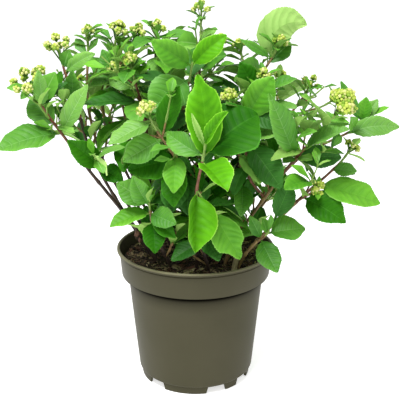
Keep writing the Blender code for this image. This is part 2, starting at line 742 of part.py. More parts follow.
def pot_profile():
    """The pot's section from the middle of its underside, up its outside, over the lip
    and down its inside to the middle of its floor."""
    floor_z = FOOT_HEIGHT + FLOOR_THICK
    lip_z = POT_HEIGHT - LIP_HEIGHT
    inner_top = RIM_RADIUS - LIP_WIDTH
    return (
        (0.0, 0.0),
        (CENTRE_PAD_RADIUS, 0.0),
        (CENTRE_PAD_RADIUS + 2.0, FOOT_HEIGHT),
        (FOOT_RING_RADIUS - FOOT_RING_WALL, FOOT_HEIGHT),
        (FOOT_RING_RADIUS - FOOT_RING_WALL, 0.0),
        (FOOT_RING_RADIUS, 0.0),
        (FOOT_RING_RADIUS + 0.5, FOOT_HEIGHT),
        (BODY_FOOT_RADIUS, FOOT_HEIGHT + 0.6),
        (BODY_TOP_RADIUS, BAND_FOOT_Z),
        (BAND_FOOT_RADIUS - 0.6, BAND_FOOT_Z),
        (BAND_FOOT_RADIUS, BAND_FOOT_Z + 0.6),
        (BAND_TOP_RADIUS, lip_z),
        (RIM_RADIUS - 0.8, lip_z + 1.0),
        (RIM_RADIUS, lip_z + 3.0),
        (RIM_RADIUS, POT_HEIGHT - 1.6),
        (RIM_RADIUS - 1.4, POT_HEIGHT),
        (inner_top + 0.6, POT_HEIGHT),
        (inner_top, POT_HEIGHT - 1.2),
        (BAND_FOOT_RADIUS - WALL, BAND_FOOT_Z + WALL + 1.0),
        (BODY_TOP_RADIUS - WALL, BAND_FOOT_Z + WALL),
        (BODY_FOOT_RADIUS - WALL, floor_z),
        (0.0, floor_z),
    )


def notch_cutter(angle):
    """A wedge that cuts one notch through the foot ring, wider at the ground."""
    made = bmesh.new()
    middle = FOOT_RING_RADIUS - FOOT_RING_WALL / 2
    bmesh.ops.create_cube(made, size=1.0)
    bmesh.ops.scale(made, verts=made.verts, vec=(NOTCH_DEPTH, NOTCH_WIDTH, FOOT_HEIGHT + 1.2))
    for vert in made.verts:
        if vert.co.z < 0:
            vert.co.y *= NOTCH_SPLAY
    bmesh.ops.translate(made, verts=made.verts, vec=(middle, 0.0, (FOOT_HEIGHT - 2.0) / 2))
    around = Matrix.Rotation(math.radians(angle), 3, "Z")
    bmesh.ops.rotate(made, verts=made.verts, cent=(0, 0, 0), matrix=around)
    return shaped("notch", made)


def drain_cutter(index):
    """A round drain hole through the floor."""
    made = bmesh.new()
    bmesh.ops.create_cone(
        made,
        cap_ends=True,
        segments=DRAIN_STEPS,
        radius1=DRAIN_RADIUS,
        radius2=DRAIN_RADIUS,
        depth=FLOOR_THICK * 4,
    )
    around = 2 * math.pi * index / DRAIN_COUNT
    place = Vector((math.cos(around), math.sin(around), 0.0)) * DRAIN_CIRCLE
    place.z = FOOT_HEIGHT + FLOOR_THICK / 2
    bmesh.ops.translate(made, verts=made.verts, vec=place)
    return shaped("drain", made)


def make_pot():
    pot = painted(turned("pot", pot_profile(), POT_STEPS), POT_PAINT)
    cutters = [notch_cutter(90.0 + a - 180.0) for a in NOTCH_ANGLES]
    cutters += [drain_cutter(i) for i in range(DRAIN_COUNT)]
    boolean(pot, cutters, "DIFFERENCE", "EXACT")
    pot.data.shade_smooth()
    pot.data.set_sharp_from_angle(angle=math.radians(30))
    return pot


def make_compost():
    """The root ball: it fills the pot and has a low, rough mound on top."""
    floor_z = FOOT_HEIGHT + FLOOR_THICK + GAP
    wall_low = BODY_FOOT_RADIUS - WALL - GAP
    wall_mid = BODY_TOP_RADIUS - WALL - GAP
    wall_high = BAND_FOOT_RADIUS - WALL - GAP
    profile = [
        (0.0, floor_z),
        (wall_low - 0.2, floor_z),
        (wall_mid - 0.2, BAND_FOOT_Z + WALL + 0.6),
        (wall_high - 0.3, BAND_FOOT_Z + WALL + 1.8),
        (wall_high, COMPOST_Z - 2.0),
    ]
    for i in range(COMPOST_RINGS):
        share = 1.0 - (i + 0.4) / COMPOST_RINGS
        profile.append((wall_high * share, COMPOST_Z + COMPOST_MOUND * (1.0 - share**2)))
    profile.append((0.0, COMPOST_Z + COMPOST_MOUND))
    compost = painted(turned("compost", profile, COMPOST_STEPS), COMPOST_PAINT)
    for vert in compost.data.vertices:
        place = vert.co / MM
        if place.z > COMPOST_Z - 1.0:
            vert.co.z += noise.noise(place * LUMP_SCALE) * COMPOST_ROUGH * MM
    return compost


def line_frames(line, leave):
    """Two directions across a line at each of its points, which don't twist round it. At
    its first point they are square to the way that it leaves its foot."""
    frames = []
    one = None
    for i in range(len(line)):
        way = (line[min(i + 1, len(line) - 1)] - line[max(i - 1, 0)]).normalized()
        if i == 0:
            way = leave
        one = way.orthogonal() if one is None else one - way * one.dot(way)
        one.normalize()
        frames.append((one.copy(), way.cross(one)))
    return frames


def unit_rod(sides, top, cuts):
    """A rod or spike one unit long and one in radius, cut across at the given heights."""
    made = bmesh.new()
    bmesh.ops.create_cone(made, cap_ends=True, segments=sides, radius1=1.0, radius2=top, depth=1.0)
    bmesh.ops.translate(made, verts=made.verts, vec=(0, 0, 0.5))
    for cut in cuts:
        everything = made.verts[:] + made.edges[:] + made.faces[:]
        bmesh.ops.bisect_plane(made, geom=everything, plane_co=(0, 0, cut), plane_no=(0, 0, 1))
    return made


def limb_object(name, line, root_radius, tip_radius, sides, leave):
    """A tapering stem along a line in millimetres."""
    steps = len(line) - 1
    made = unit_rod(sides, 1.0, [i / steps for i in range(1, steps)])
    frames = line_frames(line, leave)
    for vert in made.verts:
        i = round(vert.co.z * steps)
        one, two = frames[i]
        radius = root_radius + (tip_radius - root_radius) * i / steps
        vert.co = line[i] + (one * vert.co.x + two * vert.co.y) * radius
    return shaped(name, made)


def leaf_object(leaf):
    """A leaf as a closed solid: a four-sided spike bent onto the leaf's own line."""
    cuts = leaf_cuts(leaf)
    made = unit_rod(4, 0.0, cuts)
    for vert in made.verts:
        along = vert.co.z
        rooted = along < cuts[0] / 2
        round_way = Vector((vert.co.x, vert.co.y))
        if round_way.length > 0.0:
            round_way.normalize()
        half = LEAF_ROOT_HALF if rooted else half_width(along) * leaf.wide / 2
        vert.co = leaf_place(leaf, along, half, round_way.x, round_way.y * LEAF_THICK / 2)
    return shaped("leaf", made)


def head_objects(shoot):
    """The knobs of closed buds at a shoot's tip: one rough ball for each cluster."""
    balls = []
    clusters = 3 if shoot.head > LARGE_HEAD else 2
    for i in range(clusters):
        around = math.radians(shoot.roll) + 2 * math.pi * i / clusters
        aside = Vector((math.cos(around), math.sin(around), 0.15 * (i % 2)))
        middle = Vector(shoot.tip) + aside * shoot.head * (1.0 - CLUSTER_SHARE)
        made = bmesh.new()
        bmesh.ops.create_icosphere(made, subdivisions=1, radius=shoot.head * CLUSTER_SHARE)
        bmesh.ops.translate(made, verts=made.verts, vec=middle)
        balls.append(shaped("cluster", made))
    return balls


def ground_under(cane, surface_tree):
    """The compost's highest point under a cane's foot, in millimetres."""
    heights = []
    above = Vector((*cane.foot, POT_HEIGHT * 2))
    for step in range(FOOT_TESTS):
        around = 2 * math.pi * step / FOOT_TESTS
        out = Vector((math.cos(around), math.sin(around), 0.0)) * (cane.radius + 0.6)
        for share in (0.0, 0.5, 1.0):
            hit, *_ = surface_tree.ray_cast((above + out * share) * MM, DOWN)
            heights.append(hit.z / MM)
    return max(heights)


def pot_room():
    """The room of the pot and its compost, which the leaves keep clear of."""
    made = bmesh.new()
    height = POT_HEIGHT + POT_CLEAR
    bmesh.ops.create_cone(
        made,
        cap_ends=True,
        segments=POT_STEPS,
        radius1=BODY_TOP_RADIUS + POT_CLEAR,
        radius2=RIM_RADIUS + POT_CLEAR,
        depth=height,
    )
    bmesh.ops.translate(made, verts=made.verts, vec=(0, 0, height / 2))
    tree = BVHTree.FromBMesh(made)
    made.free()
    return Room(Vector((0, 0, POT_HEIGHT / 2)), POT_HEIGHT, tree, "")


def shoot_objects(shoot, lines, leaves, leave):
    """The solids of one shoot: its main stem, side twigs, leaves and buds."""
    stem, *sides = lines
    parts = [limb_object("twig", stem, TWIG_ROOT_RADIUS, TWIG_TIP_RADIUS, TWIG_SIDES, leave)]
    for line in sides:
        way = (line[1] - line[0]).normalized()
        parts.append(limb_object("twig", line, SIDE_ROOT_RADIUS, SIDE_TIP_RADIUS, TWIG_SIDES, way))
    parts += [leaf_object(leaf) for leaf in leaves]
    if shoot.head:
        parts += head_objects(shoot)
    return parts


def make_mass(name, shoots, stems, leaves, cane_lines):
    """One mass of foliage: its shoots, joined to one solid."""
    parts = []
    for shoot in shoots:
        leave = foot_way(shoot, cane_lines[shoot.cane])
        parts += shoot_objects(shoot, stems[shoot.name], leaves[shoot.name], leave)
    body = parts.pop(0)
    body.name = "foliage_" + name
    boolean(body, parts, "UNION", "EXACT")
    painted(body, LEAF_PAINT)


def main():
    for old in list(bpy.data.objects):
        bpy.data.objects.remove(old)
    make_pot()
    compost = make_compost()
    surface = bmesh.new()
    surface.from_mesh(compost.data)
    surface_tree = BVHTree.FromBMesh(surface)
    surface.free()

    cane_lines = {}
    for cane in CANES:
        cane_lines[cane.name] = cane_line(cane, ground_under(cane, surface_tree) + GAP)
    for cane in CANES:
        line = cane_lines[cane.name]
        stem = limb_object("stem_" + cane.name, line, cane.radius, CANE_TIP_RADIUS, CANE_SIDES, UP)
        painted(stem, CANE_PAINT)

    stems, leaves = grow(cane_lines, [pot_room()])
    masses = {}
    for shoot in SHOOTS:
        mass = shoot.cane if shoot.at == 1.0 else shoot.name
        masses.setdefault(mass, []).append(shoot)
    for name, shoots in masses.items():
        make_mass(name, shoots, stems, leaves, cane_lines)

    count = sum(len(found) for found in leaves.values())
    twigs = sum(len(found) for found in stems.values())
    print(f"{count} leaves on {twigs} twigs found room")


main()
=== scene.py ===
# %% [markdown]
# # A panicle hydrangea in its nursery pot
# A young shrub in bud, as a garden centre sells it. The solids of the pot, the compost, the
# canes and the masses of foliage are loaded first, and every piece made here takes the place
# of some of them. All pieces stand in one frame: metres, with Z up and the viewer at -Y.

import math
import random
from typing import NamedTuple

import bmesh
import bpy
import numpy as np
from mathutils import Matrix, Vector, noise
from mathutils.bvhtree import BVHTree


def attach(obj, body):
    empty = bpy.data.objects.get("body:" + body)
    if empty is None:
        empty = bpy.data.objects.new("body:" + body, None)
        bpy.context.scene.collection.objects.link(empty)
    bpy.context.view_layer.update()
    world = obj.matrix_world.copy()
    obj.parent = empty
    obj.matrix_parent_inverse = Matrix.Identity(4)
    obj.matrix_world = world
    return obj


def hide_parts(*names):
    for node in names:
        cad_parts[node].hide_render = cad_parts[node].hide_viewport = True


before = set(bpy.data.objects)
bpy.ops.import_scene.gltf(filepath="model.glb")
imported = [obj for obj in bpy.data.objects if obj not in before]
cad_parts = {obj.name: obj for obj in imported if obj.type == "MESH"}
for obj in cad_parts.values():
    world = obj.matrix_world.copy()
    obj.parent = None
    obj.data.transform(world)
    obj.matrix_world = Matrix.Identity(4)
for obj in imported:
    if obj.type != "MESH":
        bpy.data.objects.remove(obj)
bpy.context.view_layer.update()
SCENE = bpy.context.scene
MM = 0.001
print("solids loaded:", len(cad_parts))

# %% [markdown]
# ## Camera
# The photographer stood about 0.9 m away and looked slightly down, through a short telephoto
# lens. The lens is worked out from how many picture pixels a metre covers at one metre away.

# %% Camera
PICTURE_PIXELS = 400
FOCAL_PIXELS = 791
SENSOR_MM = 36.0
CAMERA_PLACE = Vector((0.0054, -0.900, 0.505))
LOOK_DOWN = math.radians(17.43)

camera_data = bpy.data.cameras.new("camera")
camera_data.sensor_width = SENSOR_MM
camera_data.lens = SENSOR_MM * FOCAL_PIXELS / PICTURE_PIXELS
camera_data.dof.use_dof = False
camera = bpy.data.objects.new("camera", camera_data)
camera.location = CAMERA_PLACE
camera.rotation_euler = (math.pi / 2 - LOOK_DOWN, 0.0, 0.0)
SCENE.collection.objects.link(camera)
SCENE.camera = camera
print("lens:", round(camera_data.lens, 1), "mm")

# %% [markdown]
# ## Colours and nodes
# Colours are written as the sRGB hex values that a colour picker shows. A shader works in
# linear light, so one function turns them. A second small function adds a shader node with its
# settings, its values and its links, and a third finishes a surface with its relief.

# %% Colour and node helpers
def linear(hex_colour):
    """An sRGB hex colour as linear red, green and blue, with an alpha of one."""
    shares = [int(hex_colour[i:i + 2], 16) / 255 for i in (1, 3, 5)]
    turned_to = [s / 12.92 if s <= 0.04045 else ((s + 0.055) / 1.055) ** 2.4 for s in shares]
    return (*turned_to, 1.0)


def new_material(name):
    """A material with its node tree and its Principled shader."""
    made = bpy.data.materials.new(name)
    made.use_nodes = True
    return made, made.node_tree, made.node_tree.nodes["Principled BSDF"]


def add_node(tree, kind, values=None, links=None, tints=(), **settings):
    """Adds a shader node: settings are its properties, values and links go to its sockets,
    and tints are the hex colours that a ramp starts from."""
    made = tree.nodes.new("ShaderNode" + kind)
    for name, value in settings.items():
        setattr(made, name, value)
    for name, value in (values or {}).items():
        made.inputs[name].default_value = value
    for name, source in (links or {}).items():
        tree.links.new(source, made.inputs[name])
    for index, tint in enumerate(tints):
        made.color_ramp.elements[index].color = linear(tint)
    return made


def give_surface(tree, shader, colour, height, relief, values):
    """Links a material's colour, gives it a relief of a strength and a depth in
    millimetres, and sets its shader's other values."""
    tree.links.new(colour, shader.inputs["Base Color"])
    strength, deep_mm = relief
    heights = {"Strength": strength, "Distance": deep_mm * MM}
    bump = add_node(tree, "Bump", heights, {"Height": height})
    tree.links.new(bump.outputs["Normal"], shader.inputs["Normal"])
    for name, value in values.items():
        shader.inputs[name].default_value = value


# %% [markdown]
# ## Studio
# The photograph is a cut-out on white, so the floor is white, the sky is white, and the light
# is broad and soft, stronger from above and in front. A wide lamp above gives the leaves their
# light upper faces, and a fainter one from the left shapes the pot. The floor glows a little, as
# a light table does, which keeps it white under the pot as well. The sky lights the plant
# dimly, and is full white only where the camera sees it.

# %% Floor, sky and lamps
FLOOR_HALF = 14.0
FLOOR_COLOUR = "#fbfbfb"
FLOOR_GLOW = 0.66
SKY_STRENGTH = 0.58
LAMPS = {
    "top_lamp": {"place": (-0.3, -0.6, 1.5), "aim": (0.0, 0.0, 0.25), "size": 0.6, "watts": 22.0},
    "side_lamp": {"place": (-1.3, -0.9, 0.8), "aim": (0.0, 0.0, 0.2), "size": 0.8, "watts": 0.9},
}


def make_floor():
    """A wide plain white floor under the pot."""
    made = bmesh.new()
    bmesh.ops.create_grid(made, x_segments=1, y_segments=1, size=FLOOR_HALF)
    mesh = bpy.data.meshes.new("floor")
    made.to_mesh(mesh)
    made.free()
    floor = bpy.data.objects.new("floor", mesh)
    SCENE.collection.objects.link(floor)
    paint, _, shader = new_material("white_studio_floor")
    shader.inputs["Base Color"].default_value = linear(FLOOR_COLOUR)
    shader.inputs["Roughness"].default_value = 0.9
    shader.inputs["Specular IOR Level"].default_value = 0.0
    shader.inputs["Emission Color"].default_value = linear(FLOOR_COLOUR)
    shader.inputs["Emission Strength"].default_value = FLOOR_GLOW
    mesh.materials.append(paint)


def make_lamp(name, place, aim, size, watts):
    """A square soft lamp that looks at a point."""
    data = bpy.data.lights.new(name, "AREA")
    data.shape = "SQUARE"
    data.size = size
    data.energy = watts
    lamp = bpy.data.objects.new(name, data)
    lamp.location = place
    lamp.rotation_euler = (Vector(aim) - Vector(place)).to_track_quat("-Z", "Y").to_euler()
    SCENE.collection.objects.link(lamp)


def make_sky():
    """A white sky, dimmer to the plant than to the camera."""
    sky = bpy.data.worlds.new("sky")
    sky.use_nodes = True
    tree = sky.node_tree
    white = tree.nodes["Background"]
    white.inputs["Color"].default_value = (1.0, 1.0, 1.0, 1.0)
    ray = add_node(tree, "LightPath")
    shares = {1: 1.0 - SKY_STRENGTH, 2: SKY_STRENGTH}
    seen = {0: ray.outputs["Is Camera Ray"]}
    strength = add_node(tree, "Math", shares, seen, operation="MULTIPLY_ADD")
    tree.links.new(strength.outputs["Value"], white.inputs["Strength"])
    SCENE.world = sky


make_floor()
make_sky()
for name, settings in LAMPS.items():
    make_lamp(name, **settings)
SCENE.view_settings.view_transform = "Standard"
print("studio: white floor, white sky and", len(LAMPS), "lamps")

# %% [markdown]
# ## Pot plastic
# Nursery pots are thin polypropylene with recycled pigment, thermoformed or blown over a mould.
# The colour is an even grey-brown, a little mottled where the pigment drifts, and the surface
# is satin with a very fine grain from the mould. A ramp on the height multiplies the colour and
# the sheen: it paints the shadow that the band casts on the body, fading down the body, and a
# painted highlight along the rim's top.

# %% Recycled polypropylene
PLASTIC = ("#413f2d", "#4c4938")
PLASTIC_DRIFT_MM = 60.0
MOULD_GRAIN_MM = 0.9
MOULD_RELIEF = (0.12, 0.2)
POT_HEIGHT = 166.0
BAND_FOOT_Z = 133.0
PLASTIC_SHEEN = 0.08
# Millimetres over the band's foot, and the share of the colour left there by the painted
# shadow under the band and the painted highlight on the rim
PAINTED_SHADE_AND_HIGHLIGHT = (
    (-22.0, 1.0), (-13.0, 0.85), (-8.8, 0.66), (-7.0, 0.46), (-5.6, 0.22), (-4.6, 0.05),
    (0.9, 0.03), (1.1, 1.0), (31.0, 1.0), (32.0, 2.6),
)


def make_plastic():
    """The pot's plastic: a slow drift of its colour, painted shadow and highlight by height, and a
    fine grain.
    """
    made, tree, shader = new_material("recycled_polypropylene")
    where = {"Vector": add_node(tree, "TexCoord").outputs["Object"]}
    drift_size = {"Scale": 1 / (PLASTIC_DRIFT_MM * MM), "Detail": 3.0}
    drift = add_node(tree, "TexNoise", drift_size, where)
    tint = add_node(tree, "ValToRGB", links={"Fac": drift.outputs["Fac"]}, tints=PLASTIC)
    above = {0: add_node(tree, "SeparateXYZ", links=where).outputs["Z"]}
    height = add_node(tree, "Math", {1: POT_HEIGHT * MM}, above, operation="DIVIDE")
    painted_shade_and_highlight = add_node(tree, "ValToRGB", links={"Fac": height.outputs["Value"]})
    for i, (over_foot, share) in enumerate(PAINTED_SHADE_AND_HIGHLIGHT):
        stops = painted_shade_and_highlight.color_ramp.elements
        at = (BAND_FOOT_Z + over_foot) / POT_HEIGHT
        stop = stops[0] if i == 0 else stops.new(at)
        stop.position = at
        stop.color = (share, share, share, 1.0)
    stops[-1].color = stops[-2].color
    colours = {6: tint.outputs["Color"], 7: painted_shade_and_highlight.outputs["Color"]}
    settings = {"data_type": "RGBA", "blend_type": "MULTIPLY"}
    painted_tint = add_node(tree, "Mix", {0: 1.0}, colours, **settings)
    grain_size = {"Scale": 1 / (MOULD_GRAIN_MM * MM), "Detail": 2.0}
    grain = add_node(tree, "TexNoise", grain_size, where).outputs["Fac"]
    gloss = {"Roughness": 0.45, "IOR": 1.49}
    give_surface(tree, shader, painted_tint.outputs[2], grain, MOULD_RELIEF, gloss)
    # The painted ramp also scales the sheen: almost none in the painted shadow, more on the rim's
    # highlight
    left = {0: painted_shade_and_highlight.outputs["Color"]}
    sheen = add_node(tree, "Math", {1: PLASTIC_SHEEN}, left, operation="MULTIPLY")
    tree.links.new(sheen.outputs["Value"], shader.inputs["Specular IOR Level"])
    return made


plastic = make_plastic()
print("material:", plastic.name)

# %% [markdown]
# ## Pot
# The real pot is one moulding: a tapered body, a wider band round its top with a rolled lip, a
# recessed floor, and a foot ring with slanted notches that let water out. It is a turned shape,
# so its section is drawn once and spun. The lip's round is an arc, and the notches and drain
# holes are cut by Boolean, since they break the turned shape.

# %% Turning, cutting and finishing helpers
RIM_RADIUS = 95.0
WALL = 1.8
LIP_WIDTH = 3.4
BAND_TOP_RADIUS = 92.0
BAND_FOOT_RADIUS = 89.8
BODY_TOP_RADIUS = 82.3
BODY_FOOT_RADIUS = 70.0
FOOT_RING_RADIUS = 67.2
FOOT_RING_WALL = 3.0
FOOT_HEIGHT = 9.0
FLOOR_THICK = 2.0
CENTRE_PAD_RADIUS = 15.0
POT_STEPS = 36
MERGE = 0.02


def shaped(name, made):
    """An object for a bmesh in millimetres, with its faces turned outwards."""
    bmesh.ops.recalc_face_normals(made, faces=made.faces)
    bmesh.ops.scale(made, verts=made.verts, vec=(MM, MM, MM))
    mesh = bpy.data.meshes.new(name)
    made.to_mesh(mesh)
    made.free()
    solid = bpy.data.objects.new(name, mesh)
    SCENE.collection.objects.link(solid)
    return solid


def turned(name, profile, steps):
    """An object turned round Z from a profile of (radius, height) in millimetres."""
    made = bmesh.new()
    ring = [made.verts.new((r, 0.0, z)) for r, z in profile]
    edges = [made.edges.new(pair) for pair in zip(ring, ring[1:])]
    full = {"cent": (0, 0, 0), "axis": (0, 0, 1), "angle": 2 * math.pi}
    bmesh.ops.spin(made, geom=ring + edges, steps=steps, use_merge=True, **full)
    bmesh.ops.remove_doubles(made, verts=made.verts, dist=MERGE)
    return shaped(name, made)


def arc(middle, radius, start, end, count):
    """Points of a round stretch of a section, between two angles in degrees."""
    angles = [math.radians(start + (end - start) * i / count) for i in range(count + 1)]
    return [(middle[0] + radius * math.cos(a), middle[1] + radius * math.sin(a)) for a in angles]


def finish(piece, materials, slot, *nodes):
    """Gives a piece its materials and its ride, and hides the solids that it stands for. Its slot is
    not used.
    """
    for material in materials:
        piece.data.materials.append(material)
    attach(piece, "root")
    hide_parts(*nodes)
    faces = len(piece.data.polygons)
    print(f"{piece.name}: {faces} faces, {len(piece.data.vertices)} points")
    return piece


# %% Pot section
FINE_POT_STEPS = 144
LIP_ROUND = 1.5
LIP_SHOWN = 4.8
GROOVE_DEPTH = 1.0
CREASE_HEIGHT = 2.4
FOOT_ROUND = 4.0


def pot_section():
    """From the middle of the underside up the outside, over the lip and down the inside."""
    floor_z = FOOT_HEIGHT + FLOOR_THICK
    lip_z = POT_HEIGHT - LIP_SHOWN
    inner_top = RIM_RADIUS - LIP_WIDTH
    ring_inside = FOOT_RING_RADIUS - FOOT_RING_WALL
    groove = BAND_TOP_RADIUS - GROOVE_DEPTH
    under = [
        (0.0, 0.0),
        (CENTRE_PAD_RADIUS, 0.0),
        (CENTRE_PAD_RADIUS + 2.0, FOOT_HEIGHT),
        (ring_inside, FOOT_HEIGHT),
        (ring_inside, 0.3),
        (ring_inside + 0.4, 0.0),
        (FOOT_RING_RADIUS - 0.5, 0.0),
        (FOOT_RING_RADIUS, 0.5),
        (FOOT_RING_RADIUS + 0.4, FOOT_HEIGHT - 0.3),
        (FOOT_RING_RADIUS + 0.9, FOOT_HEIGHT),
    ]
    turn_in = (BODY_FOOT_RADIUS - FOOT_ROUND + 0.6, FOOT_HEIGHT + FOOT_ROUND)
    foot = arc(turn_in, FOOT_ROUND, -72, -6, 6)
    band = [
        (BODY_TOP_RADIUS - 0.4, BAND_FOOT_Z - CREASE_HEIGHT),
        (BODY_TOP_RADIUS - 1.1, BAND_FOOT_Z - 1.6),
        (BODY_TOP_RADIUS - 0.8, BAND_FOOT_Z),
        (BAND_FOOT_RADIUS - 1.2, BAND_FOOT_Z),
        (BAND_FOOT_RADIUS - 0.4, BAND_FOOT_Z + 0.3),
        (BAND_FOOT_RADIUS, BAND_FOOT_Z + 1.1),
        (BAND_TOP_RADIUS - 0.1, lip_z - 1.6),
        (groove, lip_z - 0.2),
        (groove + 0.3, lip_z + 0.6),
    ]
    outer = arc((RIM_RADIUS - LIP_ROUND, lip_z + 1.0 + LIP_ROUND), LIP_ROUND, -80, 0, 5)
    top = arc((RIM_RADIUS - LIP_ROUND, POT_HEIGHT - LIP_ROUND), LIP_ROUND, 0, 90, 6)
    inner = arc((inner_top + 1.0, POT_HEIGHT - 1.0), 1.0, 90, 180, 4)
    inside = [
        (BAND_FOOT_RADIUS - WALL, BAND_FOOT_Z + WALL + 2.4),
        (BAND_FOOT_RADIUS - WALL - 0.8, BAND_FOOT_Z + WALL + 0.4),
        (BODY_TOP_RADIUS - WALL, BAND_FOOT_Z + WALL),
        (BODY_FOOT_RADIUS - WALL, floor_z),
        (0.0, floor_z),
    ]
    return under + foot + band + outer + top + inner + inside


# %% Notches, drain holes and the finished pot
NOTCH_ANGLES = (-116.0, -44.0, 22.0, 58.0, 118.0, 154.0, 208.0)
NOTCH_WIDTH = 21.0
NOTCH_DEPTH = 12.0
NOTCH_SPLAY = 1.25
DRAIN_COUNT = 7
DRAIN_RADIUS = 5.0
DRAIN_CIRCLE = 46.0
DRAIN_STEPS = 24
POT_SHARP = 34.0


def notch_cutter(angle):
    """A wedge that cuts one notch through the foot ring, wider at the ground."""
    made = bmesh.new()
    bmesh.ops.create_cube(made, size=1.0)
    bmesh.ops.scale(made, verts=made.verts, vec=(NOTCH_DEPTH, NOTCH_WIDTH, FOOT_HEIGHT + 1.2))
    low = [vert for vert in made.verts if vert.co.z < 0]
    bmesh.ops.scale(made, verts=low, vec=(1.0, NOTCH_SPLAY, 1.0))
    upright = [e for e in made.edges if e.verts[0].co.z * e.verts[1].co.z < 0]
    bmesh.ops.bevel(
        made, geom=upright, offset=0.8, segments=2, profile=0.5, affect="EDGES", material=-1
    )
    place = Vector((FOOT_RING_RADIUS - FOOT_RING_WALL / 2, 0.0, (FOOT_HEIGHT - 2.0) / 2))
    bmesh.ops.translate(made, verts=made.verts, vec=place)
    around = Matrix.Rotation(math.radians(angle - 90.0), 3, "Z")
    bmesh.ops.rotate(made, verts=made.verts, cent=(0, 0, 0), matrix=around)
    return shaped("notch", made)


def drain_cutter(index):
    """A round drain hole through the floor."""
    made = bmesh.new()
    size = {"radius1": DRAIN_RADIUS, "radius2": DRAIN_RADIUS, "depth": FLOOR_THICK * 4}
    bmesh.ops.create_cone(made, cap_ends=True, segments=DRAIN_STEPS, **size)
    around = 2 * math.pi * index / DRAIN_COUNT
    place = Vector((math.cos(around), math.sin(around), 0.0)) * DRAIN_CIRCLE
    place.z = FOOT_HEIGHT + FLOOR_THICK / 2
    bmesh.ops.translate(made, verts=made.verts, vec=place)
    return shaped("drain", made)


def cut_from(piece, cutters):
    """Cuts some objects from a piece, and removes them."""
    for cutter in cutters:
        cut = piece.modifiers.new("cut", "BOOLEAN")
        cut.operation = "DIFFERENCE"
        cut.object = cutter
        cut.solver = "EXACT"
    graph = bpy.context.evaluated_depsgraph_get()
    mesh = bpy.data.meshes.new_from_object(piece.evaluated_get(graph))
    piece.modifiers.clear()
    piece.data = mesh
    for cutter in cutters:
        bpy.data.objects.remove(cutter)


pot = turned("nursery_pot", pot_section(), FINE_POT_STEPS)
cut_from(pot, [notch_cutter(a) for a in NOTCH_ANGLES] + [drain_cutter(i) for i in range(DRAIN_COUNT)])
pot.data.shade_smooth()
pot.data.set_sharp_from_angle(angle=math.radians(POT_SHARP))
finish(pot, [plastic], "pot_plastic", "pot")

# %% [markdown]
# ## Small shapes that repeat
# A shrub is thousands of copies of a few shapes. Each shape is made once with mesh operators
# and read into arrays. A copy is only new places for the same points, and copies of a kind are
# joined to one mesh, which is far quicker than thousands of objects.

# %% Forms and joined meshes
# The attribute carries each leaf's tone with its painted light and shade, and each bud's tone
TONE_AND_PAINTED_LIGHT = "lightness"


class Form(NamedTuple):
    """A small shape: its points, its faces' corners in one row, how many corners each face
    has, and which of the piece's materials each face takes."""

    points: np.ndarray
    corners: np.ndarray
    sizes: np.ndarray
    paints: np.ndarray


def form_of(made, paint_of=lambda face: 0):
    """Reads a bmesh into a form, and frees it."""
    made.verts.index_update()
    points = np.array([vert.co[:] for vert in made.verts])
    corners = np.array([vert.index for face in made.faces for vert in face.verts])
    sizes = np.array([len(face.verts) for face in made.faces])
    paints = np.array([paint_of(face) for face in made.faces])
    made.free()
    return Form(points, corners, sizes, paints)


def rod_form(sides, steps, foot=1.0, tip=1.0):
    """A closed rod one unit long, with a radius at each end and some steps along it."""
    made = bmesh.new()
    ends = {"radius1": foot, "radius2": tip, "depth": 1.0}
    bmesh.ops.create_cone(made, cap_ends=True, segments=sides, **ends)
    upright = [e for e in made.edges if e.verts[0].co.z * e.verts[1].co.z < 0]
    bmesh.ops.subdivide_edges(made, edges=upright, cuts=steps - 1)
    bmesh.ops.translate(made, verts=made.verts, vec=(0, 0, 0.5))
    return form_of(made)


def joined(name, copies, sharp=180.0, lightness=()):
    """One object of many copies, each a form, its points in millimetres and the number
    that is added to its faces' materials. The lightness of each copy's points may be
    given too, and becomes an attribute that the materials read."""
    points = np.concatenate([places for _, places, _ in copies]) * MM
    counts = [len(places) for _, places, _ in copies]
    starts = np.concatenate([[0], np.cumsum(counts)[:-1]])
    corners = np.concatenate([form.corners + start for (form, _, _), start in zip(copies, starts)])
    sizes = np.concatenate([form.sizes for form, _, _ in copies])
    paints = np.concatenate([form.paints + shift for form, _, shift in copies])
    mesh = bpy.data.meshes.new(name)
    mesh.vertices.add(len(points))
    mesh.vertices.foreach_set("co", points.ravel())
    mesh.loops.add(len(corners))
    mesh.loops.foreach_set("vertex_index", corners.astype(np.int32))
    mesh.polygons.add(len(sizes))
    first_corners = np.concatenate([[0], np.cumsum(sizes)[:-1]])
    mesh.polygons.foreach_set("loop_start", first_corners.astype(np.int32))
    mesh.polygons.foreach_set("material_index", paints.astype(np.int32))
    if lightness:
        shares = mesh.attributes.new(TONE_AND_PAINTED_LIGHT, "FLOAT", "POINT")
        shares.data.foreach_set("value", np.concatenate(lightness).astype(np.float32))
    mesh.update(calc_edges=True)
    mesh.shade_smooth()
    if sharp < 180.0:
        mesh.set_sharp_from_angle(angle=math.radians(sharp))
    made = bpy.data.objects.new(name, mesh)
    SCENE.collection.objects.link(made)
    return made


# %% [markdown]
# ## Compost
# The pot is full of peat and composted bark: almost black where it is damp, with red-brown
# shreds of bark, pale splinters and fine fibres. The mound itself is a turned shape whose top
# is pushed up and down by noise. The coarse mound of the solid is made first, because the
# canes stand on it.

# %% Coarse mound
COMPOST_Z = 150.0
COMPOST_MOUND = 5.0
COMPOST_ROUGH = 2.2
LUMP_SCALE = 0.06
COMPOST_STEPS = 20
COMPOST_RINGS = 5
GAP = 0.3
DOWN = Vector((0.0, 0.0, -1.0))
UP = Vector((0.0, 0.0, 1.0))
RIGHT = Vector((1.0, 0.0, 0.0))


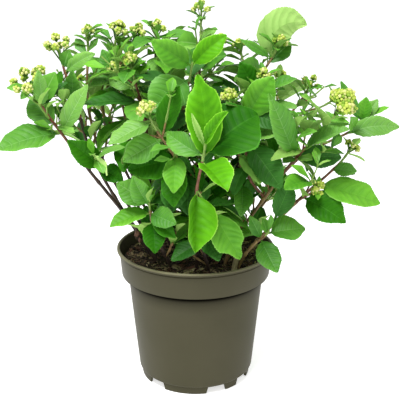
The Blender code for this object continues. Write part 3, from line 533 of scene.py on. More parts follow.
def make_compost(name, rings, steps):
    """The root ball, with a given number of rings across its mound and steps round it."""
    floor_z = FOOT_HEIGHT + FLOOR_THICK + GAP
    wall_low = BODY_FOOT_RADIUS - WALL - GAP
    wall_mid = BODY_TOP_RADIUS - WALL - GAP
    wall_high = BAND_FOOT_RADIUS - WALL - GAP
    profile = [
        (0.0, floor_z),
        (wall_low - 0.2, floor_z),
        (wall_mid - 0.2, BAND_FOOT_Z + WALL + 0.6),
        (wall_high - 0.3, BAND_FOOT_Z + WALL + 1.8),
        (wall_high, COMPOST_Z - 2.0),
    ]
    for i in range(rings):
        share = 1.0 - (i + 0.4) / rings
        profile.append((wall_high * share, COMPOST_Z + COMPOST_MOUND * (1.0 - share**2)))
    profile.append((0.0, COMPOST_Z + COMPOST_MOUND))
    compost = turned(name, profile, steps)
    for vert in compost.data.vertices:
        place = vert.co / MM
        if place.z > COMPOST_Z - 1.0:
            vert.co.z += noise.noise(place * LUMP_SCALE) * COMPOST_ROUGH * MM
    return compost


def tree_of(made):
    """A tree of a bmesh's faces, for finding what they touch or cover. Frees the bmesh."""
    tree = BVHTree.FromBMesh(made)
    made.free()
    return tree


def surface_under(piece):
    """A tree of a piece's faces, for finding its height."""
    copy = bmesh.new()
    copy.from_mesh(piece.data)
    return tree_of(copy)


coarse = make_compost("coarse_compost", COMPOST_RINGS, COMPOST_STEPS)
coarse_tree = surface_under(coarse)
bpy.data.objects.remove(coarse)
print("coarse mound measured")

# %% Compost and bark-chip materials
PEAT = ("#0f0b08", "#362c20")
CRUMB_MM = 2.4
CHIP_TINTS = {
    "damp_bark": ("#1b150f", "#423626"),
    "red_bark": ("#40281e", "#70503c"),
    "dry_bark": ("#5c4e37", "#9a8866"),
    "pale_splinter": ("#8c7c5a", "#bfb38e"),
}
CHIP_SPOT_MM = 3.0
CRUMBLY = (0.7, 0.8)


def make_earth(name, tints, spot_mm, rough):
    """Damp peat or a chip of bark: two tints in spots, and a crumbly relief."""
    made, tree, shader = new_material(name)
    where = {"Vector": add_node(tree, "TexCoord").outputs["Object"]}
    spot_size = {"Scale": 1 / (spot_mm * MM), "Detail": 5.0, "Roughness": 0.7}
    spots = add_node(tree, "TexNoise", spot_size, where).outputs["Fac"]
    tint = add_node(tree, "ValToRGB", links={"Fac": spots}, tints=tints)
    gloss = {"Roughness": rough, "Specular IOR Level": 0.3}
    give_surface(tree, shader, tint.outputs["Color"], spots, CRUMBLY, gloss)
    return made


peat = make_earth("damp_peat", PEAT, CRUMB_MM, 0.85)
chip_paints = [make_earth(name, tints, CHIP_SPOT_MM, 0.8) for name, tints in CHIP_TINTS.items()]
print("materials:", peat.name, *[paint.name for paint in chip_paints])

# %% Fine mound
FINE_RINGS = 60
FINE_STEPS = 200
CRUMB_HEIGHTS = ((0.11, 2.2), (0.3, 1.3), (0.8, 0.6))

mound = make_compost("compost_mound", FINE_RINGS, FINE_STEPS)
for vert in mound.data.vertices:
    place = vert.co / MM
    if place.z > COMPOST_Z - 1.0:
        for scale, height in CRUMB_HEIGHTS:
            vert.co.z += noise.noise(place * scale + Vector((scale * 90, 0, 7))) * height * MM
mound.data.shade_smooth()
finish(mound, [peat], "compost", "compost")
mound_tree = surface_under(mound)

# %% Bark chips
CHIP_SEED = 11
CHIP_COUNT = 2200
CHIP_LENGTH = (2.5, 16.0)
CHIP_WIDTH = (0.3, 0.6)
CHIP_THICK = (0.12, 0.35)
CHIP_UNEVEN = 0.25
CHIP_TILT = 50.0
CHIP_SHARES = (0.57, 0.15, 0.22, 0.06)
DAMP, RUDDY, DRY, PALE = range(len(CHIP_SHARES))


def ground_height(x, y):
    """The fine mound's height at a place, in millimetres."""
    hit, *_ = mound_tree.ray_cast(Vector((x, y, POT_HEIGHT * 2)) * MM, DOWN)
    return hit.z / MM if hit else COMPOST_Z


def place_on_mound(chance, reach):
    """A seeded place on the mound, evenly spread."""
    out = reach * math.sqrt(chance.random())
    around = chance.uniform(0.0, 2 * math.pi)
    x = out * math.cos(around)
    y = out * math.sin(around)
    return np.array((x, y, ground_height(x, y)))


def turned_any_way(chance, tilt):
    """A rotation round Z by any angle, after a tilt of up to some degrees."""
    lean = Matrix.Rotation(math.radians(chance.uniform(-tilt, tilt)), 3, "X")
    roll = Matrix.Rotation(math.radians(chance.uniform(-tilt, tilt)), 3, "Y")
    return np.array(Matrix.Rotation(chance.uniform(0, 2 * math.pi), 3, "Z") @ lean @ roll)


def uneven_lump(chance, lump, size, uneven, tilt):
    """The points of a lump of a given size, pushed in and out and turned any way."""
    pushed = 1.0 + np.array([chance.uniform(-uneven, uneven) for _ in lump.points])[:, None]
    return (lump.points * pushed * size) @ turned_any_way(chance, tilt).T


def strewn_chips(chance, lump, reach):
    """Shreds of bark all over the mound."""
    copies = []
    for _ in range(CHIP_COUNT):
        long = chance.uniform(*CHIP_LENGTH) * chance.uniform(0.5, 1.0)
        size = np.array((1.0, chance.uniform(*CHIP_WIDTH), chance.uniform(*CHIP_THICK))) * long
        places = uneven_lump(chance, lump, size, CHIP_UNEVEN, CHIP_TILT)
        paint = chance.choices(range(len(CHIP_SHARES)), CHIP_SHARES)[0]
        copies.append((lump, places + place_on_mound(chance, reach), paint))
    return copies


# %% Knot of bark and cut stub
KNOT_PLACE = (-66.0, -28.0, 188.0)
KNOT_SIZE = (11.0, 8.0, 14.0)
KNOT_SHARES = (1.0, 0.7, 0.5)
KNOT_UNEVEN = 0.3
KNOT_TILT = 20.0
KNOT_SPREAD = 12.0
STUB_PLACE = (46.0, -47.0, 158.0)
STUB_RADIUS = 3.4
STUB_HEIGHT = 17.0
STUB_TILT = 14.0
STUB_STEPS = 9


def bark_knot(chance, lump):
    """A knot of bark at the left, of three lumps."""
    copies = []
    for share in KNOT_SHARES:
        places = uneven_lump(chance, lump, np.array(KNOT_SIZE) * share, KNOT_UNEVEN, KNOT_TILT)
        off = np.array([chance.uniform(-KNOT_SPREAD, KNOT_SPREAD) for _ in range(3)])
        places += np.array(KNOT_PLACE) + off * (1.0 - share)
        copies.append((lump, places, DAMP if share == 1.0 else RUDDY))
    return copies


def cut_stub(chance):
    """The pale stub of a cane that was cut off."""
    made = bmesh.new()
    size = {"radius1": STUB_RADIUS, "radius2": STUB_RADIUS * 0.9, "depth": STUB_HEIGHT}
    bmesh.ops.create_cone(made, cap_ends=True, segments=STUB_STEPS, **size)
    stub = form_of(made)
    return stub, stub.points @ turned_any_way(chance, STUB_TILT).T + np.array(STUB_PLACE), PALE


# %% Fibres and the finished litter
FIBRE_COUNT = 420
FIBRE_LENGTH = (6.0, 20.0)
FIBRE_THICK = 0.7
FIBRE_BEND = (0.05, 0.3)
FIBRE_TILT = 24.0
FIBRE_LIFT = 0.8
FIBRE_SHARES = (0.4, 0.4, 0.2)


def strewn_fibres(chance, reach):
    """Bent fibres all over the mound."""
    fibre = rod_form(3, 4, 0.5, 0.3)
    straight = fibre.points - np.array((0.0, 0.0, 0.5))
    copies = []
    for _ in range(FIBRE_COUNT):
        long = chance.uniform(*FIBRE_LENGTH)
        bent = straight * np.array((FIBRE_THICK, FIBRE_THICK, long))
        bent[:, 0] += np.cos(straight[:, 2] * math.pi) * long * chance.uniform(*FIBRE_BEND)
        lying = bent[:, [2, 0, 1]] @ turned_any_way(chance, FIBRE_TILT).T
        paint = chance.choices((RUDDY, DRY, PALE), FIBRE_SHARES)[0]
        places = lying + place_on_mound(chance, reach - long / 2) + (0, 0, FIBRE_LIFT)
        copies.append((fibre, places, paint))
    return copies


def make_litter():
    """One piece of all that lies on the compost."""
    chance = random.Random(CHIP_SEED)
    made = bmesh.new()
    bmesh.ops.create_icosphere(made, subdivisions=1, radius=0.5)
    lump = form_of(made)
    reach = BAND_FOOT_RADIUS - WALL - 3.0
    copies = strewn_chips(chance, lump, reach) + bark_knot(chance, lump)
    copies += [cut_stub(chance), *strewn_fibres(chance, reach)]
    return joined("bark_chips", copies, sharp=40.0)


finish(make_litter(), chip_paints, "compost", "compost")

# %% [markdown]
# ## How the shrub grows
# The rule is the one that made the solids. Canes rise from the compost to the masses of
# foliage. A shoot springs from each cane's end or side, and at each of its nodes stands a pair
# of leaves, turned a quarter from the last pair. The leaves that show most at the front are
# aimed one by one. The others, and the side twigs, follow the rule and are left out where they
# would leave the crown or touch something.


# %% Canes
class Cane(NamedTuple):
    """One woody stem: where it leaves the compost, where it enters its foliage, how far
    its middle bows outwards, and its radius at the foot."""

    name: str
    foot: tuple
    head: tuple
    bow: float
    radius: float


CANES = [Cane(*row) for row in (
    ("hero", (2, -45), (1, -84, 246), 4, 2.6),
    ("far_left", (-46, -22), (-141, -30, 297), 2, 2.7),
    ("left", (-52, -6), (-133, 0, 322), 14, 2.6),
    ("left_inner", (-46, 8), (-121, 14, 306), 12, 2.3),
    ("mid_left", (-30, 26), (-112, 60, 306), 6, 2.2),
    ("inner_left", (-58, 14), (-82, 30, 300), 6, 2.2),
    ("fore_left", (-38, -6), (-56, -8, 304), 6, 2.4),
    ("rear_left", (-26, 18), (-50, 45, 322), 4, 2.3),
    ("centre", (14, -28), (-8, -52, 262), -6, 2.5),
    ("bright", (-10, -10), (-16, -10, 312), 2, 2.6),
    ("top", (-2, 18), (4, 48, 338), 2, 2.4),
    ("middle", (40, -14), (53, -32, 240), 4, 2.1),
    ("right", (34, -32), (100, -40, 268), -2, 2.7),
    ("right_low", (48, -44), (114, -46, 234), -2, 2.4),
    ("right_rear", (34, 18), (104, 42, 298), 6, 2.3),
    ("high_right", (18, 12), (66, 32, 338), 8, 2.4),
    ("low_left", (-28, -46), (-46, -64, 210), 2, 1.9),
    ("low_front", (16, -56), (8, -68, 186), 0, 1.8),
    ("back_left", (-40, 34), (-108, 86, 280), 8, 2.4),
    ("back", (-10, 44), (-30, 128, 292), 8, 2.4),
    ("back_right", (30, 38), (96, 104, 280), 8, 2.4),
)]
print("canes:", len(CANES))


# %% Shoots
SIDE_CHANCE = 0.68


class Shoot(NamedTuple):
    """One leafy shoot. It springs from a cane at a share of the cane's length. Its nodes
    are shares of its own length, each with a pair of leaves. Its head is the radius of
    its bud cluster, and sides is the chance of a side twig at a node."""

    name: str
    cane: str
    at: float
    tip: tuple
    leaf: float
    nodes: tuple
    roll: float
    spread: float
    head: float
    sides: float = SIDE_CHANCE


SHOOTS = [Shoot(*row) for row in (
    ("hero", "hero", 1.0, (11, -112, 318), 80, (0.22, 0.7, 0.8, 0.95), 90, 66, 0, 0.0),
    ("far_left", "far_left", 1.0, (-182, -30, 366), 66, (0.2, 0.32, 0.65), 0, 74, 13),
    ("centre", "centre", 1.0, (-51, -80, 347), 60, (0.14, 0.28, 0.62, 0.84), 10, 76, 11),
    ("right", "right", 1.0, (160, -50, 348), 66, (0.2, 0.32, 0.66, 0.86), 20, 60, 17),
    ("bright", "bright", 1.0, (-3, -36, 390), 62, (0.25, 0.5, 0.76, 0.95), 80, 60, 0, 0.0),
    ("red", "right", 0.72, (57, -40, 345), 58, (0.38, 0.62, 0.84, 0.97), 60, 66, 0),
    ("middle", "middle", 1.0, (37, -50, 356), 60, (0.1, 0.42, 0.64, 0.84), 30, 70, 10),
    ("fore_left", "fore_left", 1.0, (-72, -20, 391), 58, (0.16, 0.44, 0.66, 0.88), 0, 74, 10),
    ("low_left", "low_left", 1.0, (-50, -78, 244), 48, (0.3, 0.6, 0.9), 20, 78, 0, 0.0),
    ("low_front", "low_front", 1.0, (8, -84, 214), 50, (0.4, 0.85), 40, 84, 0, 0.0),
    ("right_low", "right_low", 1.0, (136, -52, 252), 58, (0.35, 0.75), 0, 80, 9),
    ("right_side", "right_low", 1.0, (181, -10, 290), 52, (0.34, 0.6, 0.85), 40, 60, 8, 0.0),
    ("right_rim", "right_low", 0.42, (82, -74, 210), 50, (0.4, 0.85), 40, 84, 0, 0.0),
    ("left", "left", 1.0, (-156, 8, 403), 50, (0.14, 0.4, 0.64, 0.86), 20, 62, 12),
    ("left_inner", "left_inner", 1.0, (-124, 30, 416), 48, (0.15, 0.4, 0.64, 0.86), 60, 60, 8),
    ("left_side", "left_inner", 0.66, (-112, -48, 290), 42, (0.6, 0.9), 30, 80, 0, 0.0),
    ("mid_left", "mid_left", 1.0, (-91, 48, 418), 54, (0.15, 0.5, 0.82), 0, 60, 9),
    ("mid_left_rear", "mid_left", 1.0, (-70, 66, 414), 48, (0.35, 0.6, 0.84), 60, 55, 9),
    ("inner_left", "inner_left", 1.0, (-92, 0, 378), 54, (0.15, 0.4, 0.64, 0.86), 45, 66, 8),
    ("rear_left", "rear_left", 1.0, (-46, 72, 417), 54, (0.12, 0.4, 0.68, 0.88), 20, 60, 9),
    ("top", "top", 1.0, (7, 60, 440), 46, (0.12, 0.42, 0.7, 0.88), 0, 55, 9),
    ("upper_right", "high_right", 0.8, (77, -2, 371), 52, (0.4, 0.7, 0.9), 20, 60, 10),
    ("right_tip", "right", 1.0, (200, 4, 322), 50, (0.4, 0.72, 0.92), 30, 62, 0, 0.0),
    ("right_rear", "right_rear", 1.0, (140, 60, 352), 36, (0.15, 0.5, 0.82), 20, 62, 9),
    ("high_right", "high_right", 1.0, (99, 40, 404), 50, (0.2, 0.45, 0.72, 0.88), 10, 55, 10),
    ("high_middle", "high_right", 1.0, (52, 52, 398), 52, (0.35, 0.6, 0.84), 40, 60, 8),
    ("inner_right", "middle", 0.5, (92, -6, 240), 60, (0.35, 0.65, 0.9), 10, 70, 0),
    ("heart", "bright", 0.6, (6, 2, 288), 60, (0.3, 0.6, 0.9), 10, 74, 0),
    ("heart_low", "top", 0.34, (26, -8, 240), 58, (0.5, 0.9), 40, 74, 0),
    ("heart_left", "rear_left", 0.42, (-30, -24, 252), 54, (0.5, 0.9), 20, 74, 0),
    ("back_left", "back_left", 1.0, (-150, 110, 348), 64, (0.15, 0.5, 0.84), 15, 66, 10),
    ("back_left_rear", "back_left", 1.0, (-96, 160, 344), 64, (0.2, 0.55, 0.84), 60, 66, 10),
    ("back", "back", 1.0, (-28, 190, 352), 64, (0.15, 0.5, 0.84), 0, 66, 10),
    ("back_high", "back", 1.0, (30, 140, 396), 60, (0.15, 0.5, 0.84), 40, 60, 10),
    ("back_right", "back_right", 1.0, (112, 160, 348), 64, (0.15, 0.5, 0.84), 30, 66, 10),
    ("back_right_side", "back_right", 1.0, (178, 96, 328), 62, (0.2, 0.55, 0.84), 0, 66, 10),
    ("back_low", "back", 0.45, (-40, 104, 246), 58, (0.35, 0.8), 30, 70, 0),
    ("back_low_right", "back_right", 0.45, (64, 104, 246), 58, (0.35, 0.8), 60, 70, 0),
)]
print("shoots:", len(SHOOTS))


# %% Leaves that show at the front
AIMED_FOLD = 16.0
PETIOLE_SHARE = 0.1
FRONT = Vector((0.0, -0.9, 0.45))
SKY = Vector((0.0, -0.4, 0.9))
AWAY = Vector((0.1, 0.75, 0.6))
LEFT = Vector((-0.6, -0.75, 0.3))


class Aim(NamedTuple):
    """Where a leaf of the front points: its tip, its width and the way its face looks.
    The tone is its green, fold is how sharply it closes along its midrib, curl is how far
    it curves to one side in its own plane, and turn how far its tip stands aside. Its roll
    turns it about its midrib, it is drawn so much longer and broader than its solid, and
    its stalk takes a share of its length."""

    tip: tuple
    wide: float
    face: Vector = FRONT
    tone: str = "mid"
    fold: float = AIMED_FOLD
    curl: float = 0.0
    turn: float = 0.0
    roll: float = 0.0
    long: float = 1.0
    broad: float = 1.0
    stalk: float = PETIOLE_SHARE


# %% Aims of the front's leaves, by shoot, node and side
AIMS = {
    ("hero", 0, 0): Aim((0, -122, 202), 40, FRONT, "bright", 44, roll=43, broad=1.45),
    ("hero", 0, 1): Aim((49, -105, 189), 40, FRONT, "lively", 14, broad=0.85, stalk=0.36),
    ("hero", 1, 0): Aim((3, -90, 385), 40, FRONT, "bright", 22, -26),
    ("hero", 1, 1): Aim((32, -160, 281), 38, SKY, "bright", 34),
    ("hero", 2, 0): Aim((66, -84, 342), 48, FRONT, "rich", 14, 20, roll=20, broad=1.5),
    ("hero", 2, 1): Aim((-30, -78, 322), 24),
    ("hero", 3, 0): Aim((30, -126, 350), 24, LEFT, "bright", 36, long=1.12, broad=0.8),
    ("hero", 3, 1): Aim((2, -116, 338), 12, FRONT, "pale", 30, long=1.5, broad=0.55),
    ("far_left", 0, 0): Aim((-215, -62, 298), 40, SKY, "mid", 12, broad=1.25),
    ("far_left", 0, 1): Aim((-116, -46, 368), 22, FRONT, "soft"),
    ("far_left", 1, 0): Aim((-188, -6, 346), 30),
    ("far_left", 1, 1): Aim((-129, -40, 315), 14, SKY, "soft"),
    ("far_left", 2, 0): Aim((-168, -50, 384), 16, FRONT, "soft"),
    ("far_left", 2, 1): Aim((-142, -20, 366), 18, SKY, "deep"),
    ("left", 0, 0): Aim((-136, -20, 380), 20),
    ("left", 2, 0): Aim((-112, -6, 396), 18, FRONT, "soft"),
    ("left_side", 0, 0): Aim((-140, -54, 308), 27, FRONT, "rich"),
    ("left_side", 0, 1): Aim((-80, -56, 262), 22, FRONT, "rich"),
    ("left_side", 1, 0): Aim((-76, -62, 302), 18, SKY, "soft"),
    ("fore_left", 1, 0): Aim((-122, -38, 344), 28, SKY, "deep"),
    ("fore_left", 2, 0): Aim((-98, 0, 372), 24, FRONT, "soft"),
    ("centre", 0, 0): Aim((-8, -88, 230), 32, FRONT, "deep"),
    ("centre", 1, 0): Aim((-72, -80, 280), 36, FRONT, "rich"),
    ("centre", 2, 0): Aim((-76, -92, 294), 30),
    ("centre", 2, 1): Aim((-16, -68, 370), 24, FRONT, "rich"),
    ("centre", 3, 0): Aim((-90, -96, 312), 30, SKY, "soft"),
    ("bright", 2, 0): Aim((-48, -62, 340), 44, FRONT, "mid", 10),
    ("bright", 3, 0): Aim((-46, -56, 416), 28, FRONT, "lively", 20, roll=14),
    ("bright", 3, 1): Aim((34, -40, 420), 23, FRONT, "bright", 24, roll=-10, broad=1.1),
    ("red", 1, 0): Aim((96, -60, 318), 24, SKY, "soft"),
    ("red", 1, 1): Aim((94, -72, 258), 34, FRONT, "deep"),
    ("red", 2, 0): Aim((84, -56, 378), 34, FRONT, "lively", 12),
    ("red", 2, 1): Aim((32, -72, 354), 20, SKY),
    ("red", 3, 0): Aim((97, -56, 322), 26, FRONT, "deep"),
    ("middle", 0, 0): Aim((50, -72, 226), 22),
    ("low_left", 0, 0): Aim((-58, -94, 192), 28, FRONT, "rich", turn=-20, broad=0.9),
    ("low_left", 1, 0): Aim((-92, -92, 220), 26, SKY, "lively"),
    ("low_left", 1, 1): Aim((-20, -95, 225), 24),
    ("low_left", 2, 0): Aim((-66, -82, 278), 22),
    ("low_front", 0, 0): Aim((-26, -88, 180), 24, SKY, "deep"),
    ("low_front", 1, 0): Aim((26, -104, 186), 26, SKY, "deep"),
    ("right", 0, 0): Aim((77, -64, 364), 32, FRONT, "mid", 16, broad=0.85),
    ("right", 0, 1): Aim((166, -30, 282), 27, FRONT, "deep"),
    ("right", 1, 0): Aim((154, -66, 320), 24, SKY, "soft", 24, long=1.25, broad=1.35),
    ("right", 1, 1): Aim((82, -72, 290), 18, SKY, "pale"),
    ("right_tip", 1, 0): Aim((234, -12, 309), 28, FRONT, "soft", curl=28, turn=-4, broad=0.85),
    ("right_tip", 2, 0): Aim((196, 0, 346), 16, FRONT, "lively", broad=1.1),
    ("right_tip", 2, 1): Aim((211, 8, 342), 17, FRONT, "soft", broad=0.9),
    ("right_side", 0, 0): Aim((206, -62, 238), 40, SKY, "lively", 10, -18, broad=1.15),
    ("right_side", 1, 0): Aim((183, -36, 268), 17),
    ("right_low", 0, 0): Aim((160, -80, 214), 30, FRONT, "rich", turn=-9, broad=1.2),
    ("right_rim", 0, 0): Aim((91, -93, 168), 27, FRONT, "mid", 10),
    ("right_rim", 1, 0): Aim((121, -74, 206), 28, SKY, "mid", turn=-12, long=1.06, broad=1.4),
    ("right_rim", 1, 1): Aim((106, -60, 264), 24, FRONT, "deep", stalk=0.34),
    ("upper_right", 1, 0): Aim((114, -16, 370), 26, SKY),
    ("upper_right", 1, 1): Aim((50, 0, 386), 26, FRONT, "rich"),
    ("upper_right", 0, 0): Aim((113, -32, 340), 28, SKY, "soft"),
    ("high_right", 2, 0): Aim((110, 46, 438), 56, AWAY, "pale", 8, -136, -27, 0, 1.0, 0.74),
    ("high_right", 2, 1): Aim((52, 30, 408), 16, FRONT, "mid", broad=0.7),
    ("high_right", 3, 0): Aim((107, 8, 410), 18, SKY, "deep"),
    ("inner_left", 3, 0): Aim((-106, 10, 399), 20),
    ("inner_left", 3, 1): Aim((-117, -31, 361), 22, SKY, "soft"),
    ("rear_left", 2, 0): Aim((-34, 20, 358), 28, FRONT, "soft"),
    ("rear_left", 3, 0): Aim((-73, 40, 396), 21, SKY),
    ("rear_left", 3, 1): Aim((-3, 50, 410), 21, SKY),
}
print("aimed leaves:", len(AIMS))

# %% [markdown]
# A ruled leaf that would touch something may turn aside a little, and shrink, before it is
# given up. Each try is an angle round the shoot, an angle up or down, and a share of its size.

# %% Ways to turn aside
ASIDE = (
    (0, 0, 1.0), (12, 0, 1.0), (-12, 0, 1.0), (0, 12, 1.0), (0, -12, 1.0),
    (24, 6, 0.95), (-24, 6, 0.95), (12, -20, 0.9), (-12, 20, 0.9),
    (36, 0, 0.85), (-36, 0, 0.85), (0, 26, 0.8), (20, -26, 0.75), (-20, -26, 0.7),
)


# %% The shape of a leaf
BLADE_POWER = 0.72
WIDEST_AT = 0.42
NO_AIM = Aim((0, 0, 0), 0, tone="")


class Leaf(NamedTuple):
    """A leaf from its root on the shoot: the way it sets off, the way its upper face
    looks, its length and width, how far it bends down and how sharply it folds, in
    millimetres and degrees, whether it is one of the front's leaves, and its aim, which
    gives the rest of its look."""

    root: Vector
    ahead: Vector
    up: Vector
    length: float
    wide: float
    bend: float
    fold: float
    seen: bool
    aim: Aim = NO_AIM


def half_width(share):
    """Half the blade's width over its greatest half width, at a share of the leaf."""
    blade = max(0.0, (share - PETIOLE_SHARE) / (1.0 - PETIOLE_SHARE))
    peak = WIDEST_AT**BLADE_POWER * (1.0 - WIDEST_AT)
    return blade**BLADE_POWER * (1.0 - blade) / peak


def leaf_place(leaf, along, half, across, through):
    """Where a point of a leaf lies. along runs from 0 at the root to 1 at the tip, half
    is the half width there, across runs from -1 to 1 and through is the height over the
    middle of the blade's thickness."""
    bend = math.radians(max(leaf.bend, 0.5))
    turned_by = bend * along
    spine = leaf.root + leaf.ahead * (leaf.length * math.sin(turned_by) / bend)
    spine = spine - leaf.up * (leaf.length * (1.0 - math.cos(turned_by)) / bend)
    face = leaf.up * math.cos(turned_by) + leaf.ahead * math.sin(turned_by)
    side = leaf.ahead.cross(leaf.up)
    fold = math.radians(leaf.fold)
    return (
        spine
        + side * (across * half * math.cos(fold))
        + face * (abs(across) * half * math.sin(fold) + through)
    )


# %% Lines of canes and shoots
CANE_POINTS = 6
CANE_TIP_RADIUS = 2.0
TWIG_POINTS = 5


def curve_points(start, start_way, end, end_way, count):
    """Points along a cubic curve that sets off and arrives the given ways."""
    points = []
    for i in range(count):
        t = i / (count - 1)
        s = 1.0 - t
        points.append(
            start * s**3
            + (start + start_way) * (3 * s * s * t)
            + (end - end_way) * (3 * s * t * t)
            + end * t**3
        )
    return points


def cane_line(cane, foot_z):
    """Points of a cane, from a short upright foot to its head."""
    foot = Vector((*cane.foot, foot_z))
    head = Vector(cane.head)
    run = head - foot
    outward = Vector((run.x, run.y, 0.0))
    outward = outward.normalized() if outward.length > 1.0 else RIGHT
    start_way = run * 0.16 + UP * run.length * 0.1 + outward * cane.bow
    end_way = run * 0.33 - outward * cane.bow * 1.4
    return curve_points(foot, start_way, head, end_way, CANE_POINTS)


def point_on(line, share):
    """The point of a line at a share of its length, and the line's direction there."""
    lengths = [(b - a).length for a, b in zip(line, line[1:])]
    left = share * sum(lengths)
    for a, b, length in zip(line, line[1:], lengths):
        if left <= length or b is line[-1]:
            return a.lerp(b, min(1.0, left / length)), (b - a).normalized()
        left -= length
    return line[-1], (line[-1] - line[-2]).normalized()


def foot_way(shoot, cane_points):
    """The direction in which a shoot leaves its cane: onward from its end, or square to
    its side."""
    root, way = point_on(cane_points, shoot.at)
    if shoot.at >= 1.0:
        return way
    aside = (Vector(shoot.tip) - root).normalized()
    return (aside - way * aside.dot(way)).normalized()


def shoot_line(shoot, cane, cane_points):
    """Points of a shoot, from its root on the cane to its tip."""
    root, _ = point_on(cane_points, shoot.at)
    tip = Vector(shoot.tip)
    leave = foot_way(shoot, cane_points)
    clear = GAP
    if shoot.at < 1.0:
        clear += cane.radius + (CANE_TIP_RADIUS - cane.radius) * shoot.at
    start = root + leave * clear
    reach = (tip - start).length
    end_way = (tip - start).normalized() * 0.6 + UP * 0.4
    return curve_points(start, leave * reach * 0.34, tip, end_way * reach * 0.3, TWIG_POINTS)


# %% Leaves by aim and by rule
AIMED_BEND = 24.0
LOW_SPREAD = 16.0
CLOSING_SPREAD = 34.0
FACE_ALONG = 0.75
FACE_UP = 0.55
LEAF_WIDE = 0.54
RULED_FOLD = 14.0
RULED_BEND = 34.0
LOW_BEND = 22.0
YOUNG_FROM = 0.9
YOUNG_WIDE = 0.46
YOUNG_FOLD = 26.0
YOUNG_BEND = 20.0


def leaf_size(share):
    """The share of the shoot's leaf length that a pair has: less near the shoot's tip."""
    return 1.0 - 0.5 * max(0.0, (share - 0.5) / 0.5) ** 1.5


def aimed_leaf(root, aim):
    """A leaf that reaches from its root to the tip it aims at."""
    chord = Vector(aim.tip) - root
    bend = math.radians(AIMED_BEND)
    way = chord.normalized()
    up = (aim.face - way * aim.face.dot(way)).normalized()
    ahead = (way * math.cos(bend / 2) + up * math.sin(bend / 2)).normalized()
    up = (up - ahead * up.dot(ahead)).normalized()
    length = chord.length * (bend / 2) / math.sin(bend / 2)
    return Leaf(root, ahead, up, length, aim.wide, AIMED_BEND, AIMED_FOLD, True)


def around_node(line, share, roll):
    """A node's place, the stem's direction there, and the direction out to one side."""
    root, way = point_on(line, share)
    across = (RIGHT - way * RIGHT.dot(way)).normalized()
    return root, way, Matrix.Rotation(math.radians(roll), 3, way) @ across


def ruled_leaf(line, share, roll, spread, size, aside):
    """A leaf of a stem at a share of its length, turned aside by one of the ways."""
    turn, lift, less = aside
    root, way, out = around_node(line, share, roll + turn)
    opened = math.radians(spread + LOW_SPREAD - CLOSING_SPREAD * share + lift)
    ahead = (way * math.cos(opened) + out * math.sin(opened)).normalized()
    face = way * FACE_ALONG + UP * FACE_UP
    up = (face - ahead * face.dot(ahead)).normalized()
    length = size * leaf_size(share) * less
    if share > YOUNG_FROM:
        return Leaf(root, ahead, up, length, length * YOUNG_WIDE, YOUNG_BEND, YOUNG_FOLD, False)
    bend = RULED_BEND + LOW_BEND * (1.0 - share)
    return Leaf(root, ahead, up, length, length * LEAF_WIDE, bend, RULED_FOLD, False)


# %% Lines of side twigs
SIDE_ANGLE = 42.0
SIDE_POINTS = 3


def side_line(line, share, roll, reach):
    """Points of a side twig that leaves a stem at a node and turns up with it."""
    root, way, out = around_node(line, share, roll)
    opened = math.radians(SIDE_ANGLE)
    ahead = way * math.cos(opened) + out * math.sin(opened)
    tip = root + ahead * reach + UP * reach * 0.12
    end_way = (ahead + UP * 0.5).normalized() * reach * 0.3
    return curve_points(root, ahead * reach * 0.35, tip, end_way, SIDE_POINTS)


# %% [markdown]
# Each thing that has grown keeps a room: a ball for a quick test and a tree of its surface for
# a close one. A new leaf or twig tests its own room against those, so nothing grows through
# anything else.

# %% Rooms and the trees of surfaces
CLEARANCE = 2.2
FINE_CUTS = (0.36, 0.68)
COARSE_CUTS = (0.42,)


class Room(NamedTuple):
    """Space that something takes: a ball round it, a tree of its surface and the name
    of the shoot that it belongs to."""

    middle: Vector
    reach: float
    tree: BVHTree
    owner: str


def tube_of(points, sides=4):
    """A tree of a tube through rings of points, for finding what it would touch."""
    faces = []
    for ring in range(0, len(points) - sides, sides):
        for k in range(sides):
            a, b = ring + k, ring + (k + 1) % sides
            faces.append((a, b, b + sides, a + sides))
    return BVHTree.FromPolygons(points, faces)


def tube_tree(line, radius, sides=4):
    """A tree of a square tube round a line."""
    points = []
    for i, p in enumerate(line):
        way = (line[min(i + 1, len(line) - 1)] - line[max(i - 1, 0)]).normalized()
        one = way.orthogonal().normalized()
        two = way.cross(one)
        for k in range(sides):
            a = 2 * math.pi * k / sides
            points.append(p + one * (radius * math.cos(a)) + two * (radius * math.sin(a)))
    return tube_of(points)


def leaf_cuts(leaf):
    """The shares of a leaf's length where its room has a section."""
    return FINE_CUTS if leaf.seen else COARSE_CUTS


def leaf_tree(leaf, stations):
    """A tree of a stretch of a leaf, a little swollen."""
    points = []
    for along in stations:
        half = half_width(along) * leaf.wide / 2 + CLEARANCE / 2
        for across, through in ((-1, 0), (0, 1), (1, 0), (0, -1)):
            points.append(leaf_place(leaf, along, half, across, through * CLEARANCE / 2))
    return tube_of(points)


def ball_tree(middle, radius):
    """A tree of a rough ball."""
    made = bmesh.new()
    bmesh.ops.create_icosphere(made, subdivisions=1, radius=radius)
    bmesh.ops.translate(made, verts=made.verts, vec=middle)
    return tree_of(made)


# %% Rooms of leaves, stems and the pot
POT_CLEAR = 2.0


def leaf_room(leaf, stations, owner):
    """The room of a stretch of a leaf."""
    middle = leaf_place(leaf, 0.5, 0.0, 0.0, 0.0)
    return Room(middle, leaf.length * 0.55, leaf_tree(leaf, stations), owner)


def stem_rooms(line, radius, owner):
    """The room of each stretch of a line."""
    return [
        Room((a + b) / 2, (b - a).length / 2 + radius, tube_tree([a, b], radius), owner)
        for a, b in zip(line, line[1:])
    ]


